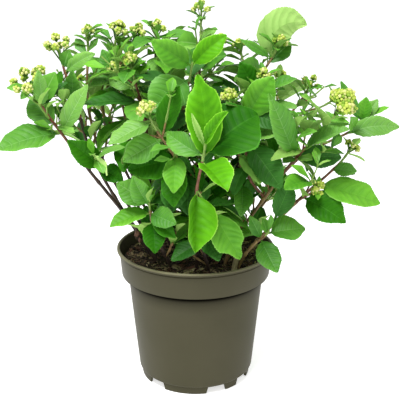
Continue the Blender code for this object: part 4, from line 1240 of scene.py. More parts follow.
def pot_room():
    """The room of the pot and its compost, which the leaves keep clear of."""
    made = bmesh.new()
    height = POT_HEIGHT + POT_CLEAR
    radii = {"radius1": BODY_TOP_RADIUS + POT_CLEAR, "radius2": RIM_RADIUS + POT_CLEAR}
    bmesh.ops.create_cone(made, cap_ends=True, segments=POT_STEPS, depth=height, **radii)
    bmesh.ops.translate(made, verts=made.verts, vec=(0, 0, height / 2))
    return Room(Vector((0, 0, POT_HEIGHT / 2)), POT_HEIGHT, tree_of(made), "")


# %% Tests of room
CONE_FOOT_Z = 178.0
CONE_FOOT_RADIUS = 66.0
CONE_SLOPE = 0.95
DOME_Z = 285.0
DOME_RADIUS = 192.0
DOME_HEIGHT = 150.0
CROWN_DEPTH_SHARE = 0.95
CLEAR_FRONT_Y = -76.0
CLEAR_FRONT_X = (-20.0, 76.0)


def touches(one, other):
    """True where two rooms meet: first their balls, then their surfaces."""
    near = (one.middle - other.middle).length < one.reach + other.reach
    return near and other.tree.overlap(one.tree)


def inside_crown(place):
    """True inside the cone and dome, and not in front of the foremost shoot's leaves."""
    low, high = CLEAR_FRONT_X
    if place.y < CLEAR_FRONT_Y and low < place.x < high:
        return False
    out = math.hypot(place.x, place.y / CROWN_DEPTH_SHARE)
    over = max(0.0, place.z - DOME_Z) / DOME_HEIGHT
    in_cone = out < CONE_FOOT_RADIUS + CONE_SLOPE * (place.z - CONE_FOOT_Z)
    return in_cone and (out / DOME_RADIUS) ** 3 + over**3 < 1.0


def first_that_fits(leaves, owner, rooms):
    """The first of some leaves that keeps to the crown's space and touches nothing. It
    then takes its room. A leaf's foot may touch its own shoot, and so may the whole of
    a leaf of the front."""
    for leaf in leaves:
        if leaf.seen or inside_crown(leaf_place(leaf, 1.0, 0.0, 0.0, 0.0)):
            cuts = leaf_cuts(leaf)
            blade = leaf_room(leaf, (PETIOLE_SHARE, *cuts, 1.0), owner)
            stalk = leaf_room(leaf, (0.0, cuts[0]), owner)
            others = [room for room in rooms if room.owner != owner]
            blocked = any(touches(blade, room) for room in (others if leaf.seen else rooms))
            if not blocked and not any(touches(stalk, room) for room in others):
                rooms.append(blade)
                return [leaf]
    return []


# %% Leaves that find room
DEPTH_STEPS = (0, -8, 8, -16, 16, -24, 24)


def aimed_that_fits(root, aim, owner, rooms):
    """The leaf of an aim, at its own depth or a little behind or before it, with the look
    that the aim gives it."""
    tips = [(aim.tip[0], aim.tip[1] + step, aim.tip[2]) for step in DEPTH_STEPS]
    tries = [aimed_leaf(root, aim._replace(tip=tip)) for tip in tips]
    return [leaf._replace(fold=aim.fold, aim=aim) for leaf in first_that_fits(tries, owner, rooms)]


def ruled_pair(line, share, roll, spread, size, owner, rooms, sides=(0, 1), ways=ASIDE, wanted=None):
    """The leaves of one node, each turned aside by the first way that finds room. Leaves
    that aren't wanted aren't tried."""
    found = []
    for side in sides:
        tries = [ruled_leaf(line, share, roll + 180.0 * side, spread, size, way) for way in ways]
        found += first_that_fits(filter(wanted, tries), owner, rooms)
    return found


# %% Side twigs that find room
SIDE_NODES = (0.5, 0.95)
SIDE_REACH = (26.0, 50.0)
SIDE_SPREAD = 56.0
SIDE_LEAF = 0.8
SIDE_ROOT_RADIUS = 1.5


def side_twig(shoot, line, share, roll, chance, rooms):
    """A side twig's line and leaves, or None where it would leave the crown, touch
    something or stay bare."""
    side = side_line(line, share, roll, chance.uniform(*SIDE_REACH))
    wanted = chance.random() < shoot.sides and inside_crown(side[-1])
    first, *rest = stem_rooms(side, SIDE_ROOT_RADIUS + GAP, shoot.name)
    others = [room for room in rooms if room.owner != shoot.name]
    if not wanted or any(touches(first, room) for room in others):
        return None
    if any(touches(stretch, room) for stretch in rest for room in rooms):
        return None
    rooms += [first, *rest]
    small = shoot.leaf * SIDE_LEAF
    leaves = []
    for k, node in enumerate(SIDE_NODES):
        turned_to = roll + 90.0 * k
        leaves += ruled_pair(side, node, turned_to, SIDE_SPREAD, small, shoot.name, rooms)
    if leaves:
        return side, leaves
    del rooms[-1 - len(rest):]
    return None


# %% Growing
TWIG_ROOT_RADIUS = 2.2
CANE_CLEAR = 3.2
HEAD_CLEAR = 1.0
SIDE_SEED = 4
SIDE_JITTER = 20.0


def grow(cane_lines, rooms):
    """Every shoot's stems and leaves, as lists by the shoot's name. Main stems and heads
    are placed first and then the leaves of the front. The rest fill the room that is
    left: leaves in pairs, and side twigs from some of the nodes."""
    chance = random.Random(SIDE_SEED)
    for line in cane_lines.values():
        rooms += stem_rooms(line, CANE_CLEAR, "")
    canes = {cane.name: cane for cane in CANES}
    lines = {s.name: shoot_line(s, canes[s.cane], cane_lines[s.cane]) for s in SHOOTS}
    for shoot in SHOOTS:
        rooms += stem_rooms(lines[shoot.name], TWIG_ROOT_RADIUS + GAP, shoot.name)
        if shoot.head:
            place = Vector(shoot.tip)
            reach = shoot.head + HEAD_CLEAR
            rooms.append(Room(place, reach, ball_tree(place, reach), shoot.name))
    stems = {name: [line] for name, line in lines.items()}
    leaves = {name: [] for name in lines}
    nodes = {shoot.name: shoot.nodes for shoot in SHOOTS}
    for (name, index, _), aim in AIMS.items():
        root, _ = point_on(lines[name], nodes[name][index])
        leaves[name] += aimed_that_fits(root, aim, name, rooms)
    for shoot in SHOOTS:
        for index, share in enumerate(shoot.nodes):
            sides = [side for side in (0, 1) if (shoot.name, index, side) not in AIMS]
            roll = shoot.roll + 90.0 * index
            size = (shoot.spread, shoot.leaf)
            found = ruled_pair(lines[shoot.name], share, roll, *size, shoot.name, rooms, sides)
            leaves[shoot.name] += found
    for shoot in SHOOTS:
        for index, share in enumerate(shoot.nodes[:-1]):
            for side in (0, 1):
                jitter = chance.uniform(-SIDE_JITTER, SIDE_JITTER)
                roll = shoot.roll + 90.0 * index + 180.0 * side + jitter
                twig = side_twig(shoot, lines[shoot.name], share, roll, chance, rooms)
                if twig:
                    stems[shoot.name].append(twig[0])
                    leaves[shoot.name] += twig[1]
    return stems, leaves


# %% The grown shrub
FOOT_TESTS = 12
FOOT_MARGIN = 0.6


def ground_under(cane, surface_tree):
    """The compost's highest point under a cane's foot, in millimetres."""
    heights = []
    above = Vector((*cane.foot, POT_HEIGHT * 2))
    for step in range(FOOT_TESTS):
        around = 2 * math.pi * step / FOOT_TESTS
        out = Vector((math.cos(around), math.sin(around), 0.0)) * (cane.radius + FOOT_MARGIN)
        for share in (0.0, 0.5, 1.0):
            hit, *_ = surface_tree.ray_cast((above + out * share) * MM, DOWN)
            heights.append(hit.z / MM)
    return max(heights)


cane_lines = {}
for cane in CANES:
    cane_lines[cane.name] = cane_line(cane, ground_under(cane, coarse_tree) + GAP)
rooms = [pot_room()]
stems, leaves = grow(cane_lines, rooms)
print("leaves:", sum(len(found) for found in leaves.values()))
print("twigs:", sum(len(found) for found in stems.values()))

# %% [markdown]
# The crown is open in places, and the sky shows between its leaves. Each gap is a window in
# the picture. A ruled leaf that would close a gap or stand before a panicle of the front is
# left out, and so is a side twig that has lost its leaves.

# %% Windows of sky, and heads of buds that show
# Each window's left, top, right and foot, in pixels
SKY_GAPS = (
    (136, 0, 196, 20), (91, 38, 99, 54), (172, 20, 180, 25), (48, 56, 60, 68),
    (314, 96, 326, 110), (207, 0, 236, 26), (239, 30, 252, 52), (303, 0, 400, 72),
    (290, 30, 304, 66), (268, 62, 290, 74), (322, 60, 350, 84), (286, 96, 300, 106),
    (108, 111, 124, 119), (38, 142, 74, 158), (268, 203, 296, 214), (256, 202, 266, 218),
    (318, 163, 352, 172),
)
FRONT_HEADS = (
    "right_side", "right_low", "high_right", "upper_right", "middle",
    "centre", "fore_left", "inner_left", "far_left", "right",
)
PIXELS_PER_MM = 0.88
SKY_TESTS = ((0.4, 0), (0.7, 0), (0.85, 0), (1.0, 0), (0.5, -1), (0.5, 1))
SKY_TEST_WIDE = 0.4
HEAD_TESTS = (0.3, 0.5, 0.7, 0.9, 1.0)


def picture_place(place):
    """Where a place in millimetres shows in the picture, in pixels."""
    ray = place * MM - CAMERA_PLACE
    depth = ray.y * math.cos(LOOK_DOWN) - ray.z * math.sin(LOOK_DOWN)
    rise = ray.y * math.sin(LOOK_DOWN) + ray.z * math.cos(LOOK_DOWN)
    middle = PICTURE_PIXELS / 2
    return middle + FOCAL_PIXELS * ray.x / depth, middle - FOCAL_PIXELS * rise / depth


def hides_sky(leaf):
    """True where a leaf's middle, tip or sides would stand in a gap."""
    for along, across in SKY_TESTS:
        half = half_width(along) * leaf.wide * SKY_TEST_WIDE
        u, v = picture_place(leaf_place(leaf, along, half, across, 0.0))
        if any(left < u < right and top < v < foot for left, top, right, foot in SKY_GAPS):
            return True
    return False


def hides_head(leaf):
    """True where a leaf's middle or tip would stand before one of the front's panicles."""
    for shoot in SHOOTS:
        if shoot.name in FRONT_HEADS:
            head = picture_place(Vector(shoot.tip))
            reach = shoot.head * PIXELS_PER_MM
            for along in HEAD_TESTS:
                place = leaf_place(leaf, along, 0.0, 0.0, 0.0)
                if place.y < shoot.tip[1] and math.dist(picture_place(place), head) < reach:
                    return True
    return False


def leaves_view_open(leaf):
    """True where a leaf stands neither in a gap nor before a panicle of the front."""
    return not (hides_sky(leaf) or hides_head(leaf))


# %% Leaves and twigs that stay
def in_leaf(line, found):
    """True where one of some leaves grows from a node of a side twig."""
    roots = [point_on(line, share)[0] for share in SIDE_NODES]
    return any((leaf.root - root).length < GAP for leaf in found for root in roots)


shown = {}
shown_stems = {}
for name, found in leaves.items():
    shown[name] = [leaf for leaf in found if leaf.seen or leaves_view_open(leaf)]
    main, *sides = stems[name]
    shown_stems[name] = [main] + [side for side in sides if in_leaf(side, shown[name])]
print("leaves that leave the sky open:", sum(len(found) for found in shown.values()))

# %% [markdown]
# Between the large leaves of the front small ones show, and they are aimed one by one as
# well: each by its shoot and by the share of the shoot's length where it grows.

# %% Small leaves of the front
SMALL_AIMS = (
    ("low_left", 0.9, (-86, -70, 264), 28),
    ("low_left", 1.0, (-63, -72, 277), 20, FRONT, "lively"),
    ("low_left", 1.0, (-44, -92, 266), 13, SKY, "lively"),
    ("low_left", 0.6, (-21, -90, 207), 18, FRONT, "rich"),
    ("left_side", 1.0, (-97, -62, 270), 16, AWAY, "pale"),
    ("right_side", 0.6, (183, -30, 263), 15, SKY),
    ("right_tip", 0.92, (165, -4, 365), 15),
    ("right_tip", 1.0, (224, 4, 334), 10, SKY, "lively"),
    ("right_rim", 0.85, (74, -72, 224), 16, SKY),
    ("far_left", 0.95, (-207, -34, 362), 10),
    ("far_left", 0.95, (-192, -36, 350), 9),
    ("left_inner", 0.75, (-140, 24, 408), 13),
    ("left_inner", 0.8, (-113, 26, 409), 8),
    ("high_right", 0.4, (51, 28, 383), 30),
    ("high_right", 0.2, (50, 28, 372), 27, FRONT, "rich"),
    ("high_right", 0.6, (113, 56, 402), 24),
    ("inner_right", 0.6, (68, -34, 206), 22, FRONT, "deep"),
    ("right_rim", 0.4, (60, -66, 225), 15),
    ("centre", 0.2, (-27, -84, 233), 32, FRONT, "deep"),
    ("left", 0.7, (-142, 2, 399), 20),
    ("far_left", 0.7, (-153, -30, 379), 26),
    ("top", 0.6, (-22, 48, 405), 25),
    ("top", 0.4, (36, 30, 392), 31),
    ("right_tip", 0.8, (173, -14, 329), 17),
    ("right", 0.2, (129, -56, 286), 17, SKY, "soft"),
    ("right", 0.2, (96, -60, 284), 15, SKY),
    ("right_rear", 0.9, (151, 40, 350), 12, SKY),
    ("right_rear", 0.8, (127, 40, 339), 11, SKY),
    ("far_left", 0.3, (-132, -50, 315), 13, SKY, "soft"),
)

for name, share, *aim in SMALL_AIMS:
    root, _ = point_on(stems[name][0], share)
    found = aimed_that_fits(root, Aim(*aim), name, rooms)
    shown[name] += [leaf._replace(seen=False) for leaf in found]
print("small leaves of the front:", len(SMALL_AIMS))

# %% [markdown]
# ## Finer twigs
# In many leaf axils a real shoot has a sprig: a few millimetres of green twig with a pair of
# small young leaves. Short leafy twigs also stand low on the canes, in the shade of the crown,
# and a shoot without buds ends in a young pair. They all grow by the same rule, in the room that
# is left within the crown's reach.

# %% Sprigs in the axils
SPRIG_SEED = 23
SPRIG_CHANCE = 0.75
SPRIG_REACH = (7.0, 18.0)
SPRIG_LEAF = (34.0, 56.0)
SPRIG_SPREAD = 66.0
SPRIG_ROLL = 45.0
SPRIG_JITTER = 30.0
# Small leaves turn aside only a little, and leave the view open
MODEST = {"ways": ASIDE[:5], "wanted": leaves_view_open}


def grow_sprigs(stems, leaves, rooms):
    """Short sprigs at the nodes of shoots and side twigs, as lines, with their leaves
    added to the shoots'."""
    chance = random.Random(SPRIG_SEED)
    sprigs = {shoot.name: [] for shoot in SHOOTS}
    for shoot in SHOOTS:
        main, *sides = stems[shoot.name]
        nodes = [(main, share) for share in shoot.nodes]
        nodes += [(line, SIDE_NODES[0]) for line in sides]
        for line, share in nodes if shoot.sides else ():
            for side in (0, 1):
                roll = shoot.roll + SPRIG_ROLL + 180.0 * side
                roll += chance.uniform(-SPRIG_JITTER, SPRIG_JITTER)
                sprig = side_line(line, share, roll, chance.uniform(*SPRIG_REACH))
                size = chance.uniform(*SPRIG_LEAF)
                if chance.random() > SPRIG_CHANCE or not inside_crown(sprig[-1]):
                    continue
                pair = (sprig, 1.0, roll + 90.0, SPRIG_SPREAD, size, shoot.name, rooms)
                found = ruled_pair(*pair, **MODEST)
                if found:
                    sprigs[shoot.name].append(sprig)
                    leaves[shoot.name] += found
    return sprigs


sprigs = grow_sprigs(shown_stems, shown, rooms)
print("sprigs:", sum(len(found) for found in sprigs.values()))
print("leaves with sprigs:", sum(len(found) for found in shown.values()))

# %% Young pairs at the ends of shoots
END_LEAF = (30.0, 40.0)
END_SPREAD = 46.0
COLLAR_SHARE = 0.96
COLLAR_LEAF = (26.0, 40.0)
COLLAR_SPREAD = 52.0


def grow_ends(stems, leaves, rooms):
    """A young pair at the end of each shoot and side twig, or just under its buds."""
    chance = random.Random(SPRIG_SEED)
    for shoot in SHOOTS:
        main, *sides = stems[shoot.name]
        for line in (main, *sides):
            roll = chance.uniform(0.0, 180.0)
            budded = line is main and shoot.head > 0
            share = COLLAR_SHARE if budded else 1.0
            size = chance.uniform(*(COLLAR_LEAF if budded else END_LEAF))
            spread = COLLAR_SPREAD if budded else END_SPREAD
            pair = (line, share, roll, spread, size, shoot.name, rooms)
            leaves[shoot.name] += ruled_pair(*pair, **MODEST)


grow_ends(shown_stems, shown, rooms)
print("leaves with young ends:", sum(len(found) for found in shown.values()))

# %% Leafy twigs in the shade, low on the canes
SHADE_SEED = 31
SHADE_NODES = (0.3, 0.42, 0.54, 0.66, 0.78, 0.9)
SHADE_REACH = (14.0, 36.0)
SHADE_LEAF = (42.0, 66.0)
OPEN_LEFT = (-56.0, 292.0)
OPEN_RIGHT = (84.0, 262.0)


def in_the_open(place):
    """True in the two gaps under the crown where bare canes show against the sky."""
    left = place.x < OPEN_LEFT[0] and place.z < OPEN_LEFT[1]
    right = place.x > OPEN_RIGHT[0] and place.z < OPEN_RIGHT[1]
    return left or right


def grow_shade(cane_lines, rooms):
    """Twigs on the canes and their leaves. A twig may touch the canes."""
    chance = random.Random(SHADE_SEED)
    twigs = []
    shaded = []
    for cane in CANES:
        for share in SHADE_NODES:
            for side in (0, 1):
                roll = chance.uniform(0.0, 180.0) + 180.0 * side
                twig = side_line(cane_lines[cane.name], share, roll, chance.uniform(*SHADE_REACH))
                size = chance.uniform(*SHADE_LEAF)
                if in_the_open(twig[-1]) or not inside_crown(twig[-1]):
                    continue
                found = []
                for k, node in enumerate(SIDE_NODES):
                    turned_to = roll + 90.0 * k
                    found += ruled_pair(twig, node, turned_to, SIDE_SPREAD, size, "", rooms)
                found = [leaf for leaf in found if not hides_sky(leaf)]
                shaded += found
                twigs += [twig] if found else []
    return twigs, shaded


shade_twigs, shade_leaves = grow_shade(cane_lines, rooms)
print("twigs in the shade:", len(shade_twigs), "with leaves:", len(shade_leaves))

# %% Leaflets round the panicles
LEAFLET_COUNT = 4
LEAFLET_SIZE = (15.0, 25.0)
LEAFLET_SPREAD = 70.0
LEAFLET_WIDE = 0.42
LEAFLET_NODES = (0.86, 0.99)
LEAFLET_JITTER = 20.0
LEAFLET_SWAY = 18.0


def grow_leaflets():
    """Small pointed leaves that stand out round the foot of each panicle."""
    chance = random.Random(SPRIG_SEED)
    found = []
    for shoot in SHOOTS:
        for k in range(LEAFLET_COUNT if shoot.head else 0):
            share = chance.uniform(*LEAFLET_NODES)
            roll = 360.0 * k / LEAFLET_COUNT + chance.uniform(-LEAFLET_JITTER, LEAFLET_JITTER)
            spread = LEAFLET_SPREAD + chance.uniform(-LEAFLET_SWAY, LEAFLET_SWAY)
            size = chance.uniform(*LEAFLET_SIZE) / leaf_size(share)
            leaflet = ruled_leaf(stems[shoot.name][0], share, roll, spread, size, ASIDE[0])
            found.append(leaflet._replace(wide=leaflet.length * LEAFLET_WIDE))
    return found


leaflets = grow_leaflets()
print("leaflets round the panicles:", len(leaflets))

# %% [markdown]
# ## Bark
# Old canes are dark grey-brown and furrowed lengthwise, with swollen rings at their nodes.
# This year's shoots are smooth and red-brown where the sun reaches them, and green at the tip.
# The relief is in the mesh: each ring of points is moved in and out by noise that is drawn out
# along the stem.

# %% Bark materials
OLD_BARK = ("#17100c", "#4a362a")
TAN_BARK = ("#5a4428", "#a08450")
RED_BARK = ("#522a1c", "#905a42")
GREEN_BARK = ("#668c34", "#94b058")
BARK_PATCH_MM = 2.6
BARK_STRETCH = (1.0, 1.0, 0.3)
BARK_RELIEF = (0.5, 0.3)


def make_bark(name, tints, rough):
    """Bark of one age: two tints in patches drawn out along the stem, and a fine relief."""
    made, tree, shader = new_material(name)
    where = {"Vector": add_node(tree, "TexCoord").outputs["Object"]}
    drawn = add_node(tree, "Mapping", {"Scale": BARK_STRETCH}, where)
    patch_size = {"Scale": 1 / (BARK_PATCH_MM * MM), "Detail": 4.0, "Roughness": 0.6}
    along = {"Vector": drawn.outputs["Vector"]}
    patches = add_node(tree, "TexNoise", patch_size, along).outputs["Fac"]
    tint = add_node(tree, "ValToRGB", links={"Fac": patches}, tints=tints)
    tint.color_ramp.elements[0].position = 0.3
    tint.color_ramp.elements[1].position = 0.7
    gloss = {"Roughness": rough}
    give_surface(tree, shader, tint.outputs["Color"], patches, BARK_RELIEF, gloss)
    return made


bark_paints = [
    make_bark("old_hydrangea_bark", OLD_BARK, 0.7),
    make_bark("tan_hydrangea_bark", TAN_BARK, 0.65),
    make_bark("red_young_bark", RED_BARK, 0.5),
    make_bark("green_young_bark", GREEN_BARK, 0.45),
]
OLD, TAN, RED, GREEN = range(4)
print("materials:", *[paint.name for paint in bark_paints])


# %% Rods along lines
def smooth_line(line, count):
    """Evenly many points on a smooth curve through a line's points."""
    spots = np.array([p[:] for p in line])
    before = 2 * spots[0] - spots[1]
    after = 2 * spots[-1] - spots[-2]
    spots = np.vstack([before, spots, after])
    at = np.linspace(0.0, len(line) - 1.0, count)
    i = np.minimum(at.astype(int), len(line) - 2)
    t = (at - i)[:, None]
    a, b, c, d = spots[i], spots[i + 1], spots[i + 2], spots[i + 3]
    squared = 2 * a - 5 * b + 4 * c - d
    cubed = 3 * b - 3 * c + d - a
    return 0.5 * (2 * b + (c - a) * t + squared * t**2 + cubed * t**3)


def frames_along(spots):
    """Two directions across a curve at each of its points, which don't twist round it."""
    ways = np.gradient(spots, axis=0)
    ways /= np.linalg.norm(ways, axis=1)[:, None]
    one = np.array(Vector(ways[0]).orthogonal().normalized())
    ones = []
    for way in ways:
        one = one - way * one.dot(way)
        one /= np.linalg.norm(one)
        ones.append(one)
    ones = np.array(ones)
    return ones, np.cross(ways, ones)


def drawn_rod(form, steps, line, radius_at):
    """A rod's points along a line. radius_at gives the radius for arrays of shares along
    the line and of angles round it."""
    spots = smooth_line(line, steps + 1)
    ones, twos = frames_along(spots)
    along = form.points[:, 2]
    i = np.rint(along * steps).astype(int)
    angle = np.arctan2(form.points[:, 1], form.points[:, 0])
    radius = radius_at(along, angle)
    return (
        spots[i]
        + ones[i] * (np.cos(angle) * radius)[:, None]
        + twos[i] * (np.sin(angle) * radius)[:, None]
    )


# %% Canes with their bark
CANE_SIDES = 12
CANE_STEPS = 56
CANE_NODES = (0.0, 0.24, 0.46, 0.7, 0.99)
BARE_SHARE = 0.84
CANE_SWELL = (0.65, 2.6)
FURROW_DEPTH = 0.24
FURROWS_ROUND = 2.2
FURROWS_PER_MM = 0.09
SUNK_FOOT = 3.0
TAN_CANES = ("right", "right_low", "middle")
BARK_SEED = 3


def ring_noise(along, angle, length, seed):
    """Noise round and along a stem, drawn out lengthwise."""
    values = []
    for share, a in zip(along, angle):
        x, y = math.cos(a) * FURROWS_ROUND + seed, math.sin(a) * FURROWS_ROUND
        values.append(noise.noise(Vector((x, y, share * length * FURROWS_PER_MM))))
    return np.array(values)


def line_length(line):
    """The length of a line, along its points."""
    return sum((b - a).length for a, b in zip(line, line[1:]))


def tapered(ends, nodes, swell, length, along):
    """A stem's radius along it: its taper and the swelling of its nodes."""
    high, long = swell
    radius = ends[0] + (ends[1] - ends[0]) * along
    for node in nodes:
        radius = radius + high * np.exp(-(((along - node) * length / long) ** 2))
    return radius


def cane_radius(cane, length, seed):
    """A function for a cane's radius, with its furrows."""
    ends = (BARE_SHARE * cane.radius, BARE_SHARE * CANE_TIP_RADIUS)

    def radius_at(along, angle):
        furrows = FURROW_DEPTH * ring_noise(along, angle, length, seed)
        return tapered(ends, CANE_NODES, CANE_SWELL, length, along) + furrows

    return radius_at


cane_form = rod_form(CANE_SIDES, CANE_STEPS)
cane_copies = []
for index, cane in enumerate(CANES):
    line = cane_lines[cane.name]
    sunk = [line[0] - UP * SUNK_FOOT, *line[1:]]
    radius_at = cane_radius(cane, line_length(line), BARK_SEED + index * 7.3)
    places = drawn_rod(cane_form, CANE_STEPS, sunk, radius_at)
    cane_copies.append((cane_form, places, TAN if cane.name in TAN_CANES else OLD))
canes_piece = joined("woody_canes", cane_copies, sharp=50.0)
finish(canes_piece, bark_paints, "bark", *[f"stem_{cane.name}" for cane in CANES])

# %% Masses of foliage by name
MASSES = sorted(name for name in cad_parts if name.startswith("foliage_"))
print("masses:", len(MASSES))

# %% [markdown]
# Young shoots are round, thicken at each node and redden with age, so a shoot's lower part is
# red or tan and its last part green. Sprigs and leaf stalks are green.

# %% Shoots, side twigs, sprigs and stalks
TWIG_SIDES = 8
TWIG_STEPS = 24
FINE_SIDES = 6
FINE_STEPS = 8
TWIG_SWELL = (0.5, 2.0)
TWIG_OVAL = 0.08
TWIG_RADII = (1.75, 1.15)
SIDE_RADII = (1.15, 0.8)
SPRIG_RADII = (0.9, 0.63)
STALK_RADII = (0.96, 0.48)
STALK_IN = 0.06
STALK_UNDER = -0.4
TWIG_GREEN_FROM = 0.72
SIDE_GREEN_FROM = 0.4
RED_SHOOTS = (
    "hero", "far_left", "red", "right", "left", "fore_left", "right_rear", "right_side",
    "right_low",
)


def rod_copy(form, steps, line, ends, nodes, paint):
    """A copy of a rod along a line, slightly oval, with its radii at both ends and its
    swollen nodes."""
    length = line_length(line)

    def radius_at(along, angle):
        return tapered(ends, nodes, TWIG_SWELL, length, along) + TWIG_OVAL * np.cos(angle * 2.0)

    return form, drawn_rod(form, steps, line, radius_at), paint


def part_green(form, low, share):
    """A rod form whose faces are of one bark up to a share of its length and green on."""
    corners_of_faces = np.split(form.corners, np.cumsum(form.sizes)[:-1])
    heights = np.array([form.points[corners][:, 2].mean() for corners in corners_of_faces])
    return form._replace(paints=np.where(heights > share, GREEN, low))


def stalk_copy(leaf, form):
    """A leaf's stalk, which runs on a little way under its midrib. A small leaf's is thin."""
    reach = leaf.aim.stalk + STALK_IN
    line = [leaf_place(leaf, reach * k / 2, 0.0, 0.0, STALK_UNDER) for k in range(3)]
    thin = min(1.0, leaf.length / 50.0 + 0.2)
    return rod_copy(form, FINE_STEPS, line, [r * thin for r in STALK_RADII], (), GREEN)


# %% Twigs and stalks as one piece
twig_form = rod_form(TWIG_SIDES, TWIG_STEPS)
fine_form = rod_form(FINE_SIDES, FINE_STEPS)
twig_copies = []
for shoot in SHOOTS:
    main, *sides = shown_stems[shoot.name]
    low = RED if shoot.name in RED_SHOOTS else TAN
    painted = part_green(twig_form, low, TWIG_GREEN_FROM)
    twig_copies.append(rod_copy(painted, TWIG_STEPS, main, TWIG_RADII, (0.0, *shoot.nodes), 0))
    painted = part_green(fine_form, low, SIDE_GREEN_FROM)
    for side in sides:
        twig_copies.append(rod_copy(painted, FINE_STEPS, side, SIDE_RADII, SIDE_NODES, 0))
    for sprig in sprigs[shoot.name]:
        twig_copies.append(rod_copy(fine_form, FINE_STEPS, sprig, SPRIG_RADII, (), GREEN))
for twig in shade_twigs:
    twig_copies.append(rod_copy(fine_form, FINE_STEPS, twig, SIDE_RADII, SIDE_NODES, TAN))
for found in (*shown.values(), shade_leaves, leaflets):
    twig_copies += [stalk_copy(leaf, fine_form) for leaf in found]
finish(joined("twigs_and_stalks", twig_copies, sharp=60.0), bark_paints, "bark", *MASSES)

# %% [markdown]
# ## Leaf surfaces
# A hydrangea leaf is thin and matt above, with sunk veins and a quilted blade between them, and
# paler below, where the veins stand out. Young leaves are a bright yellow-green with a still
# lighter margin, and mature ones have a faint waxy sheen. Each tone of green is a set of five
# materials: the blade, its veins, the underside, the veins below, and the margin.

# %% Leaf materials
# Each tone has a dark and a light green for its blade, its veins and its margin
TONES = {
    "bright": ("#3e8006", "#6abc18", "#42880a", "#72c024", "#74b826", "#96d24a"),
    "lively": ("#42861c", "#70b432", "#4a8e24", "#7aba3e", "#62a630", "#86c252"),
    "rich": ("#1a5608", "#397a12", "#26640e", "#458a1e", "#2c6e16", "#4c9228"),
    "mid": ("#38781e", "#67a836", "#56943e", "#86ba5e", "#447f2e", "#70ac4a"),
    "soft": ("#508a32", "#82b850", "#70a450", "#a2cc80", "#5c9242", "#8aba62"),
    "deep": ("#1e4d12", "#3a7628", "#2e6420", "#4e8a36", "#205212", "#3a7626"),
    "pale": ("#7aa84a", "#a2cc68", "#8cba5c", "#b8da80", "#84b054", "#aed276"),
}
SHEEN = {"bright": 0.14, "pale": 0.16, "lively": 0.2, "rich": 0.08, "deep": 0.2}
MATURE_SHEEN = 0.36
UNDERSIDE = ("#78a848", "#9cc864")
UNDER_VEIN = ("#90ba5a", "#b4d87a")
MOTTLE_SHARE = 0.5
MOTTLE_MM = 9.0
PORE_MM = 0.8
PORE_RELIEF = (0.25, 0.2)


def make_leaf_surface(name, low, high, rough, sheen=0.18):
    """The matt skin of a leaf: two greens that a soft mottle and its lightness attribute blend, which
    carries a leaf's tone with painted light and shade, and a fine grain of pores."""
    made, tree, shader = new_material(name)
    where = {"Vector": add_node(tree, "TexCoord").outputs["Object"]}
    mottle_size = {"Scale": 1 / (MOTTLE_MM * MM), "Detail": 3.0}
    mottle = add_node(tree, "TexNoise", mottle_size, where)
    lightness = add_node(tree, "Attribute", attribute_name=TONE_AND_PAINTED_LIGHT)
    both = {0: mottle.outputs["Fac"], 2: lightness.outputs["Fac"]}
    share = add_node(tree, "Math", {1: MOTTLE_SHARE}, both, operation="MULTIPLY_ADD")
    blended = {"Fac": share.outputs["Value"]}
    tint = add_node(tree, "ValToRGB", links=blended, tints=(low, high))
    tint.color_ramp.elements[0].position = MOTTLE_SHARE / 2 - 0.1
    pore_size = {"Scale": 1 / (PORE_MM * MM), "Detail": 2.0}
    pores = add_node(tree, "TexNoise", pore_size, where).outputs["Fac"]
    gloss = {"Roughness": rough, "IOR": 1.42, "Specular IOR Level": sheen}
    give_surface(tree, shader, tint.outputs["Color"], pores, PORE_RELIEF, gloss)
    return made


under_paint = make_leaf_surface("leaf_underside", *UNDERSIDE, 0.6)
under_vein_paint = make_leaf_surface("leaf_underside_vein", *UNDER_VEIN, 0.6)


def leaf_paints(tone):
    """The five materials of a leaf's tone: blade, vein, underside, vein below, margin. A
    pale leaf is so young that its underside is no darker than its veins."""
    tints = TONES[tone]
    sheen = SHEEN.get(tone, MATURE_SHEEN)
    blade = make_leaf_surface(f"leaf_blade_{tone}", *tints[:2], 0.46, sheen)
    vein = make_leaf_surface(f"leaf_vein_{tone}", *tints[2:4], 0.5, sheen)
    margin = make_leaf_surface(f"leaf_margin_{tone}", *tints[4:], 0.5, sheen)
    if tone == "pale":
        return [blade, vein, vein, margin, margin]
    return [blade, vein, under_paint, under_vein_paint, margin]


print("leaf tones:", *TONES)

# %% [markdown]
# ## Leaf mesh
# The blade starts as a grid. Its rows are placed so that each side vein has a narrow strip of
# its own, and the rows sweep forward from the midrib as veins do. A copy turned over makes the
# underside, and the two are merged along the margin.

# %% Rows of a leaf's grid
VEIN_STRIP = 0.012
FIRST_VEIN = 0.13
LAST_VEIN = 0.9


class Row(NamedTuple):
    """A row of the grid: its share of the leaf, its bulge, and whether a vein's strip
    starts or ends there."""

    share: float
    bulge: float = 0.0
    starts: bool = False
    ends: bool = False


def leaf_rows(veins, between):
    """The rows of a leaf with some side veins and some rows between each two. With only
    one row between them, the veins are creases without a strip."""
    step = (LAST_VEIN - FIRST_VEIN) / (veins - 1)
    strip = VEIN_STRIP if between > 1 else 0.0
    rows = [Row(0.03), Row(PETIOLE_SHARE)]
    for vein in range(veins):
        start = FIRST_VEIN + step * vein
        rows.append(Row(start, starts=strip > 0))
        if strip:
            rows.append(Row(start + strip, ends=True))
        room = (step if vein < veins - 1 else 1.0 - start) - strip
        for k in range(between):
            share = (k + 1) / (between + 1)
            rows.append(Row(start + strip + room * share, math.sin(math.pi * share)))
    rows.append(Row(1.0))
    return rows


